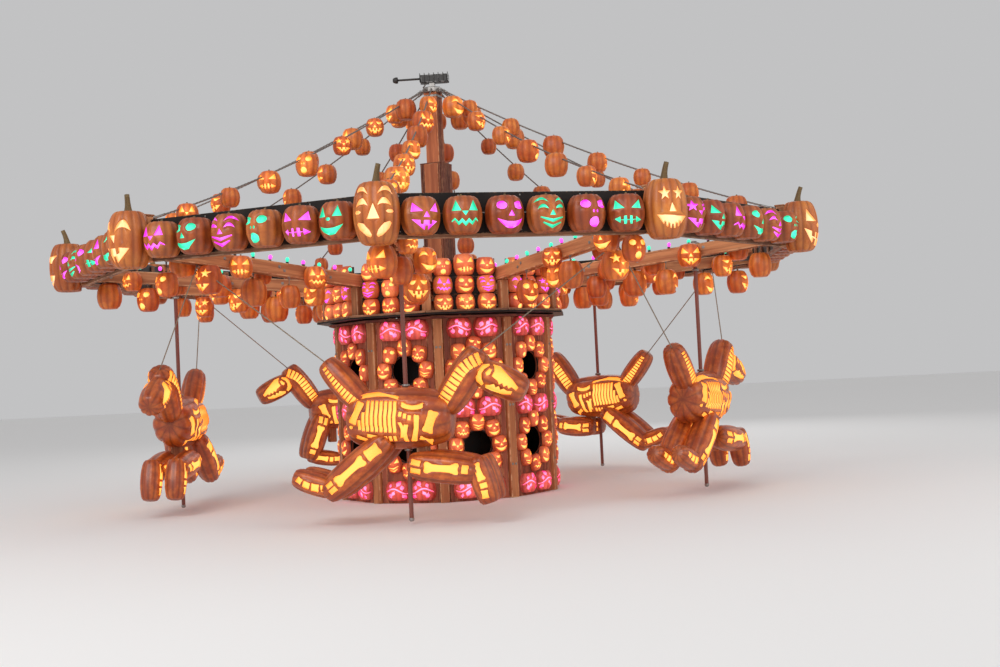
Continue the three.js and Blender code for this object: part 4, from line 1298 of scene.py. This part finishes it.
def makeRoofCable(k):
    # three strands with an eye and sleeves at each end, and pumpkins evenly along them
    turn, name = outwards(stepAngle * k), f"{k + 1:02d}"
    line, across = cablePoint(np.linspace(0, 1, 241)), np.array([0, 1.0, 0])
    up = np.cross(unit(np.gradient(line, axis=0)), across)
    thick = roof["strand"]
    iron = strandsRound(line, arcLength(line), up, across, roof["lay"], thick, thick * 0.95, "cable")
    iron += [moved(hoop(*roof["eye"], "steel", 18, 6), aboutZ(pi / 2), cablePoint(t)) for t in roof["eyes"]]
    iron += [tube(cablePoint(np.linspace(a, b, 4)), r, "steel", 10) for a, b, r in roof["sleeves"]]
    makePiece("roofCable_" + name, iron, turn, "canopy", "steel_cable", "roof_cable_" + name)
    heads = []
    for i, t in enumerate(np.linspace(roof["first"], roof["last"], roof["count"])):
        size, plain = roof["size"] * spread(k + 5, i), (k + 2 * i) % 5 == 4
        kind = relooked(plainKind if plain else hungKinds[(k + 3 * i) % len(hungKinds)], "hungSkin", "roofSkin")
        heads.append(onLine(kind, size, roof["tall"], (0.2, 1.1), cablePoint(t) - [0, 0, roof["below"] * size]))
    makePiece("roofPumpkins_" + name, heads, turn, "canopy", "pumpkin_skin")


for k in range(sides):
    makeRoofCable(k)
print("roof dressed")

# mast and what is on it
mast = {
    "wide": 0.275, "bottom": 1.9414, "shoulder": 3.700, "neck": 0.157, "middle": 0.172, "top": 4.580, "skin": 0.014,
    "straps": (2.42, 4.48), "strapThick": 0.004, "strapHalf": 0.012,
    "hub": (0.225, 2.150, 2.360), "collar": (0.112, 4.520, 4.580), "collarBolts": 4.532,
}


def boxedColumn(wide, low, high, middle, slats):
    # a near-black core, a smooth board up the middle in front and behind, and thin darker slats with gaps elsewhere;
    # core and slats are painted shade
    half, skin = wide / 2, mast["skin"]
    strips = []
    for side in (0, 2):
        strips.append((side, -middle / 2 + 0.001, middle / 2 - 0.001, half, "mastWood"))
        edges = np.linspace(middle / 2, half, 3)
        if half - middle / 2 > 0.01:
            strips += [(side, way * (a + 0.003), way * (b - 0.003), half - 0.003, "slatWood")
                       for way in (-1, 1) for a, b in zip(edges[:-1], edges[1:])]
    edges = np.linspace(-half + skin, half - skin, slats + 1)
    strips += [(side, a + 0.004, b - 0.004, half - 0.002, "slatWood")
               for side in (1, 3) for a, b in zip(edges[:-1], edges[1:])]
    core = half - skin
    # the core shows through the gaps between slats as painted shade
    pieces = [slab((-core, core), (-core, core), (low, high), "darkInside")]
    for side, a, b, out, look in strips:
        pieces.append(moved(slab((core + seam, out), (a, b), (low, high), look, 0.0025, 0.01), aboutZ(side * pi / 2)))
    return pieces


def cutDisc(radius, low, high, cut, look):
    # a ten-sided disc with cut edges, one side of which looks between two arms
    inner = radius - cut
    outline = [(0, low), (inner, low), (radius, low + cut), (radius, high - cut), (inner, high), (0, high)]
    return moved(lathe(outline, look, sides, False), aboutZ(halfStep))


def makeMast():
    # a wide column under a narrow one, with straps, a hub for the arms and a collar for the cables
    neck, shoulder, thick = mast["neck"] / 2, mast["shoulder"], mast["strapThick"]
    wood = boxedColumn(mast["wide"], mast["bottom"], shoulder, mast["middle"], 5)
    wood += boxedColumn(mast["neck"], shoulder - 0.02, mast["top"] - 0.061, mast["neck"], 3)
    iron, quarters = [], [aboutZ(i * pi / 2) for i in range(4)]
    ledge = mast["wide"] / 2 + 0.001
    # ledges on the shoulder, in the darker slat wood of painted shade
    for q in quarters:
        p = slab((neck + seam, ledge), (-ledge, ledge - 0.05), (shoulder + seam, shoulder + 0.012), "slatWood")
        wood.append(moved(p, q))
    for height, half in zip(mast["straps"], (mast["wide"] / 2, neck)):
        heights = (height - mast["strapHalf"], height + mast["strapHalf"])
        for q in quarters:
            strap = slab((half + 0.0002, half + thick), (-half - thick, half + thick), heights, *thinSteel)
            iron.append(moved(strap, q))
            iron += [moved(bolt((half + thick, y * half, height), "x", 0.006), q) for y in (-0.6, 0.6)]
    wood, iron = ([moved(p, aboutZ(-halfStep)) for p in parts] for parts in (wood, iron))
    side, low, high = mast["hub"]
    r = side / cos(halfStep)
    wood.append(cutDisc(r, low, high, 0.01, "mastWood"))
    for z in (low, high - 0.008):
        rim = [(0, z - 0.004), (r + 0.006, z - 0.004), (r + 0.006, z + 0.012), (0, z + 0.012)]
        iron.append(moved(lathe(rim, "steel", sides, False), aboutZ(halfStep)))
    side, low, high = mast["collar"]
    iron.append(cutDisc(side / cos(halfStep), low, high, 0.008, "steel"))
    iron += [moved(bolt((side, 0, mast["collarBolts"]), "x", 0.007), aboutZ(k * 2 * halfStep)) for k in range(sides)]
    makePiece("mastBoards", wood, outwards(0), "canopy", "timber", "mast")
    makePiece("mastIronwork", iron, outwards(0), "canopy", "steel")


headLamp = {
    "foot": 4.5804, "half": 0.03, "bar": (-0.140, 0.190, 0.060, 4.6404, 4.7504), "fins": 7, "cheek": (0.008, 0.07),
    "armHeight": 0.118, "arm": (-0.415, -0.120, 0.012), "brace": ((-0.108, 0.011), (-0.068, 0.062), (-0.030, 0.111)),
    "lamp": (-0.450, -0.395, 0.036),
}


def makeMastHead():
    # a finned bar with a glass front on a bracket, and a side arm with a lamp can at its end
    foot, core, (a, b, half, low, high) = headLamp["foot"], headLamp["half"], headLamp["bar"]
    thick, tall = headLamp["cheek"]
    parts = [slab((a + 0.012, b - 0.012), (0.012 - half, half - 0.008), (low, high - 0.018), "housing", 0.006, 0.016)]
    parts += [slab((x - 0.003, x + 0.003), (-half, half - 0.02), (low + 0.012, high), "housing", 0.001, 0.003)
              for x in np.linspace(a + 0.006, b - 0.006, headLamp["fins"])]
    parts.append(slab((a, b), (half - 0.018, half - 0.008), (low + 0.004, high - 0.01), "housing", 0.002, 0.006))
    parts += [slab((-core, core), (y, y + thick), (foot, foot + tall), *thickSteel) for y in (-core, core - thick)]
    parts.append(slab((-core, core), (-core, core), (foot, foot + thick), *thickSteel))
    parts += [bolt((x, y, foot + thick), "z", 0.006) for x in (-0.018, 0.018) for y in (-0.014, 0.014)]
    middle, (c, d, r) = foot + headLamp["armHeight"], headLamp["arm"]
    parts.append(tube(np.linspace([c, 0, middle], [d, 0, middle], 6), r, "housing", 12))
    parts.append(tube([(x, 0, foot + z) for x, z in headLamp["brace"]], 0.008, "steel", 8))
    c, d, r = headLamp["lamp"]
    long = d - c
    can = [(0, 0), (0.020, 0), (0.026, 0.006), (r, 0.030), (r, long), (r - 0.005, long), (r - 0.008, long - 0.008),
           (0, long - 0.010)]
    parts.append(moved(lathe(can, "housing", 20), aboutY(pi / 2), (c, 0, middle)))
    glass = slab((a + 0.01, b - 0.01), (half - 0.0078, half - seam), (low + 0.014, high - 0.02), "lampGlass",
                 0.002, 0.004)
    makePiece("mastHeadLamp", parts, outwards(90), "canopy", "lamp_housing", "mast_head")
    makePiece("mastHeadGlass", [glass], outwards(90), "canopy", "lamp_glass")


makeMast()
makeMastHead()
print("mast dressed")

# horses
horse = {
    "radius": 2.920, "legAside": 0.125, "slim": 0.86, "carve": 0.014,
    "turns": (-8, -8, 7, -12, -14), "fronts": ("Bent", "Bent", "Level", "Folded", "Bent"),
    "block": ((-0.060, 0.090, 0.500), (0.060, 0.190, 0.760)), "tailTip": (-0.735, 1.462), "neckTop": (0.690, 1.500),
    "poleRadius": 0.021, "poleBottom": 0.025, "collars": (0.665, 1.232, 2.28), "cap": (0.120, 0.012),
    "capBolts": 0.042,
    "stayRadius": 3.3, "stayStrand": 0.0032, "stayLay": 0.09, "stayEye": (0.014, 0.0035),
}
# each limb: the two points that it runs between, forwards and up, and its width
limbs = {
    "torso": ((-0.535, 0.950), (0.425, 0.940), 0.560), "neck": ((0.345, 1.000), (0.700, 1.510), 0.310),
    "head": ((0.650, 1.345), (1.090, 1.130), 0.290), "tail": ((-0.365, 1.040), (-0.745, 1.475), 0.265),
    "upperHind": ((-0.130, 0.770), (-0.745, 0.290), 0.280), "lowerHind": ((-0.640, 0.330), (-1.040, 0.460), 0.215),
    "upperBent": ((0.035, 0.540), (0.680, 0.460), 0.280), "lowerBent": ((0.640, 0.585), (0.760, 0.185), 0.225),
    "upperLevel": ((0.020, 0.540), (0.560, 0.570), 0.260), "lowerLevel": ((0.500, 0.575), (0.880, 0.640), 0.200),
    "upperFolded": ((0.270, 0.880), (0.480, 0.290), 0.280), "lowerFolded": ((0.460, 0.330), (0.040, 0.270), 0.205),
}


# bones, drawn on a limb's side in halves of its width: first the way along it, then the way up across it
def bone(start, end, width, knob=1.0, bow=0.0):
    # a bar from one point to another, knob times as wide near its ends, that bows aside by bow times one
    # minus t squared
    start, end = np.asarray(start, float), np.asarray(end, float)
    t = np.array([-0.96, -1, -0.94, -0.8, -0.5, 0, 0.5, 0.8, 0.94, 1, 0.96])
    swell = 1 + (knob - 1) * np.array([1, 1, 1, 1, 0.15, 0, 0.15, 1, 1, 1, 1])
    half = (width / 2 * swell * np.array([0.12, 0.6, 0.95, 1, 1, 1, 1, 1, 0.95, 0.6, 0.12]))[:, None]
    way = (end - start) / np.linalg.norm(end - start)
    side = np.array([-way[1], way[0]])
    middle = (start + end) / 2 + t[:, None] * (end - start) / 2 + (bow * (1 - t**2))[:, None] * side
    return np.vstack([middle + half * side, (middle - half * side)[::-1]])


def spine(path, count, wide, thick, taper=0.0):
    # backbones: short bars set across a curved line, evenly spaced and smaller towards its end
    path = np.asarray(path, float)
    run = arcLength(path)

    def at(s):
        return np.array([np.interp(s, run, path[:, 0]), np.interp(s, run, path[:, 1])])

    bones = []
    for i in range(count):
        s, less = (i + 0.5) / count * run[-1], taper * i / (count - 1)
        ahead = at(s + 0.08) - at(s - 0.08)
        side = np.array([-ahead[1], ahead[0]]) / np.linalg.norm(ahead) * wide * (1 - less)
        bones.append(bone(at(s) - side, at(s) + side, thick * (1 - 0.35 * less), 1.12))
    return bones


def torsoBones():
    # back, hip, ribs, belly, shoulder and chest
    rows = [
        ((0.34, 0.66), (1.86, 0.64), 0.11, 1.0, 0.16),  # back
        ((0.60, 0.57), (0.30, -0.12), 0.23, 1.2),  # hip
        ((0.56, 0.0), (0.55, -0.33), 0.10), ((0.70, 0.26), (0.68, -0.37), 0.105),
        *[((a, 0.61 - 0.006 * i), (a - 0.03, -0.39 - 0.01 * i), 0.105)
          for i, a in enumerate(np.linspace(0.85, 1.75, 7))],  # ribs
        ((0.40, -0.52), (1.08, -0.78), 0.12), ((0.78, -0.49), (1.14, -0.57), 0.11),  # belly
        *[((a, -0.53), (a + 0.01, -0.70), 0.10) for a in np.linspace(1.25, 1.70, 4)],
        ((1.95, 0.47), (2.66, 0.42), 0.12, 1.25, -0.09),  # shoulder
        *[((1.94 + 0.15 * i, 0.23 - 0.06 * i), (1.92 + 0.15 * i, 0.07 - 0.06 * i), 0.105) for i in range(3)],
        ((1.90, -0.10), (1.93, -0.60), 0.11, 1.0, 0.06), ((2.12, -0.18), (2.07, -0.74), 0.13, 1.1, -0.05),
        ((2.46, 0.12), (2.27, -0.76), 0.15, 1.15, 0.05), ((3.00, 0.22), (2.74, -0.46), 0.26, 1.3),
        ((2.50, -0.60), (2.84, -0.80), 0.12, 1.2),
    ]
    return [bone(*row) for row in rows] + [roundHole(0.24, -0.24, 0.13, 0.12, 8)]


def headBones():
    # the plates of a skull, as outlines
    cheek = [(0.25, 0.0), (0.42, 0.50), (0.75, 0.74), (0.84, 0.60), (0.64, 0.32), (0.60, 0.0), (0.72, -0.32),
             (0.94, -0.52), (0.82, -0.74), (0.46, -0.58), (0.28, -0.30)]
    brow = [(0.80, 0.14), (0.92, 0.46), (1.10, 0.48), (1.12, 0.16), (0.96, 0.0)]
    nasal = [(0.98, 0.80), (1.45, 0.84), (1.95, 0.62), (2.55, 0.38), (3.0, 0.10), (2.94, -0.10), (2.62, -0.02),
             (2.48, -0.18), (2.34, -0.02), (2.18, -0.20), (2.02, -0.02), (1.86, -0.18), (1.70, 0.0), (1.45, 0.06),
             (1.26, 0.12), (1.28, 0.46), (1.14, 0.66)]
    jaw = [(1.06, -0.54), (1.34, -0.44), (1.56, -0.30), (1.72, -0.44), (1.88, -0.30), (2.04, -0.46), (2.20, -0.32),
           (2.44, -0.36), (2.74, -0.26), (2.72, -0.46), (2.2, -0.66), (1.5, -0.80), (1.10, -0.77)]
    return [np.array(shape) for shape in (cheek, brow, nasal, jaw)]


# leg bones, as shares of the leg's length: where each starts and ends along it and across it, width, knob
legDesigns = {
    "upperHind": [(0.12, 0.05, 0.30, 0.0, 0.70, 1.15), (0.335, 0.0, 0.77, 0.0, 0.42, 1.8),
                  (0.80, 0.22, 0.90, 0.19, 0.30, 1.1), (0.80, -0.22, 0.89, -0.22, 0.30, 1.1)],
    "lowerHind": [(0.13, -0.1, 0.29, 0.10, 0.52, 1.1), (0.33, 0.14, 0.50, 0.20, 0.60, 1.1),
                  (0.54, 0.20, 0.70, 0.14, 0.54, 1.0), (0.74, 0.08, 0.86, -0.08, 0.48, 1.1)],
    "upper": [(0.07, 0.26, 0.21, 0.20, 0.34, 1.1), (0.07, -0.26, 0.22, -0.30, 0.32, 1.1),
              (0.26, 0.0, 0.74, 0.08, 0.42, 1.8), (0.78, 0.1, 0.87, 0.1, 0.54, 1.0)],
    "lower": [(0.12, 0.0, 0.50, 0.12, 0.50, 1.35), (0.55, 0.12, 0.66, 0.10, 0.58, 1.0),
              (0.70, 0.02, 0.87, -0.08, 0.52, 1.15)],
}


def legBones(key):
    # the same bones on legs of any length
    long, design = limbLength(key), legDesigns.get(key, legDesigns[key[:5]])
    return [bone((a * long, h), (b * long, g), width, knob) for a, h, b, g, width, knob in design]


def limbLength(key):
    # a limb's length in halves of its width
    start, end, width = limbs[key]
    return 2 * np.linalg.norm(np.subtract(end, start)) / width


def limb(key):
    # a long pumpkin between two points of the horse, carved alike on both of its sides
    start, end, width = limbs[key]
    a, b = np.array([0, *start]), np.array([0, *end])
    form = {"width": width, "height": np.linalg.norm(b - a), "fullness": 0.5, "dip": 0.12, "start": -pi / 2,
            "ribs": 10, "groove": 0.09, "grid": limbGrid.get(key, (40, 14)), "carve": horse["carve"],
            "look": "horseSkin"}
    bones = limbBones[key]() if key in limbBones else legBones(key)
    holes = holesOf([np.column_stack([-p[:, 1], 2 * p[:, 0] / limbLength(key) - 1]) for p in bones], "amberCut")
    p = carved(form, holes, holes)
    p["grain"] = p["points"] * 4
    return moved(p, along(a, b), (a + b) / 2)


neckLine = [(a, 0.18 - 0.56 * max(0.0, (a - 2.3) / 1.45) ** 2) for a in np.linspace(0.42, 3.75, 12)]
tailLine = [(a, 0.24 - 0.12 * ((a - 2.1) / 2) ** 2) for a in np.linspace(0.5, 4.0, 8)]
limbBones = {
    "torso": torsoBones, "neck": lambda: spine(neckLine, 11, 0.36, 0.22), "head": headBones,
    "tail": lambda: spine(tailLine, 12, 0.36, 0.21, 0.55),
}
limbGrid = {"torso": (60, 26), "neck": (40, 16)}


def collarOn(z, radius):
    # a short ring with cut edges round the pole
    wide = radius + 0.004
    outline = [(0, -0.012), (radius, -0.012), (wide, -0.004), (wide, 0.004), (radius, 0.012), (0, 0.012)]
    return moved(lathe(outline, "steel", 20), None, (0, 0, z))


limbParts = {key: limb(key) for key in limbs}
limbParts["torso"]["points"] *= [horse["slim"], 1, 1]
horseGear = [board(*horse["block"], "timber", 0.01, 0.02)]


def stay(a, b):
    # a taut rope of three strands from end to end, between two eyes
    long, thick = np.linalg.norm(b - a), horse["stayStrand"]
    t = np.linspace(0, 1, int(long / horse["stayLay"] * 7))
    side = unit(np.cross(b - a, [0, 0, 1.0]))
    up = np.cross(side, (b - a) / long)
    strands = strandsRound(a + t[:, None] * (b - a), t * long, side, up, horse["stayLay"], thick * 1.1, thick, "rope")
    return strands + [moved(hoop(*horse["stayEye"], "steel", 16, 6), None, place) for place in (a, b)]


def makeHorse(n):
    # limbs turned with the horse and set at its distance from the axis, its pole, and two ropes
    k, name, r = 2 * n, str(n + 1), horse["radius"]
    turn, yaw, front = outwards(stepAngle * k), aboutZ(radians(horse["turns"][n])), horse["fronts"][n]
    legs = [moved(limbParts[key], None, (x, 0, 0)) for x in (-horse["legAside"], horse["legAside"])
            for key in ("upperHind", "lowerHind", "upper" + front, "lower" + front)]
    trunk = [limbParts[key] for key in ("torso", "neck", "head", "tail")]

    def placed(parts):
        return [moved(moved(varied(p, p["tone"][0]), yaw), None, (r, 0, 0)) for p in parts]

    makePiece("horseBody_" + name, placed(trunk), turn, "canopy", "carved_shell", "horse_" + name)
    makePiece("horseLegs_" + name, placed(legs), turn, "canopy", "carved_shell")
    makePiece("horseBlock_" + name, placed(horseGear), turn, "canopy", "timber")
    makePole(r, turn, name)
    # ropes from the tail and the neck to the arms behind and ahead
    ropes, far = [], horse["stayRadius"]
    for (ahead, height), other in ((horse["tailTip"], k - 1), (horse["neckTop"], k + 1)):
        tied = turn @ (yaw @ np.array([0, ahead, height]) + [r, 0, 0])
        ropes += stay(tied, outwards(stepAngle * other) @ np.array([far, 0, armTop(far) - arm["deep"] - 0.012]))
    makePiece("horseStays_" + name, ropes, None, "canopy", "steel_cable")


def makePole(r, turn, name):
    # a pole from just above the ground to the arm, with collars and a plate on top
    (wide, thick), radius, bottom = horse["cap"], horse["poleRadius"], horse["poleBottom"]
    half = wide / 2
    low = armTop(r + half) + 0.0004
    high = low + thick
    z = np.concatenate([[bottom + 0.012], np.linspace(bottom + 0.03, low - 0.001, 24)])
    foot = [(0, 0), (0.012, 0.001), (radius, 0.008), (radius + 0.003, 0.02), (radius, 0.034), (0, 0.034)]
    pole = [tube(np.column_stack([0 * z, 0 * z, z]), radius - 0.001, "pole", 20)]
    pole.append(moved(lathe(foot, "steel", 20), None, (0, 0, bottom)))
    pole += [collarOn(height, radius + 0.012) for height in horse["collars"]]
    pole.append(slab((-half, half), (-half, half), (low, high), "steel", 0.002, 0.008))
    apart = (-horse["capBolts"], horse["capBolts"])
    pole += [bolt((x, y, high), "z", 0.008) for x in apart for y in apart]
    pole.append(collarOn(high + 0.010, radius + 0.006))
    pole = [moved(p, None, (r, 0, 0)) for p in pole]
    makePiece("horsePole_" + name, pole, turn, "canopy", "painted_pole", "horse_pole_" + name)


for n in range(sides // 2):
    makeHorse(n)
print("horses dressed")


# stage and lights
stage = {
    "half": 60, "floor": (0.90, 0.89, 0.88, 1), "world": (0.90, 0.90, 0.91, 1), "strength": 0.60, "aimHeight": 2.0,
    "lights": {
        "keyLight": ((-6, -11, 9), 7, 600), "fillLight": ((9, -8, 6), 8, 220), "backLight": ((3, 11, 8), 8, 260),
    },
}


def makeStage():
    # a pale floor, even light from the world, and area lights by name: place, size and power
    scene, half, floor = bpy.context.scene, stage["half"], bpy.data.meshes.new("floor")
    floor.from_pydata([(-half, -half, 0), (half, -half, 0), (half, half, 0), (-half, half, 0)], [], [(0, 1, 2, 3)])
    ground = bpy.data.objects.new("floor", floor)
    scene.collection.objects.link(ground)
    look = bpy.data.materials.new("paleFloor")
    look.use_nodes = True
    shader = look.node_tree.nodes["Principled BSDF"]
    shader.inputs["Base Color"].default_value = stage["floor"]
    shader.inputs["Roughness"].default_value = 0.95
    floor.materials.append(look)
    world = bpy.data.worlds.new("softStudio")
    world.use_nodes = True
    world.node_tree.nodes["Background"].inputs["Color"].default_value = stage["world"]
    world.node_tree.nodes["Background"].inputs["Strength"].default_value = stage["strength"]
    scene.world = world
    scene.view_settings.view_transform = "Standard"
    for label, (place, size, power) in stage["lights"].items():
        data = bpy.data.lights.new(label, "AREA")
        data.size, data.energy = size, power
        light = bpy.data.objects.new(label, data)
        scene.collection.objects.link(light)
        light.location = place
        away = Vector(place) - Vector((0, 0, stage["aimHeight"]))
        light.rotation_euler = away.to_track_quat("Z", "Y").to_euler()


makeStage()
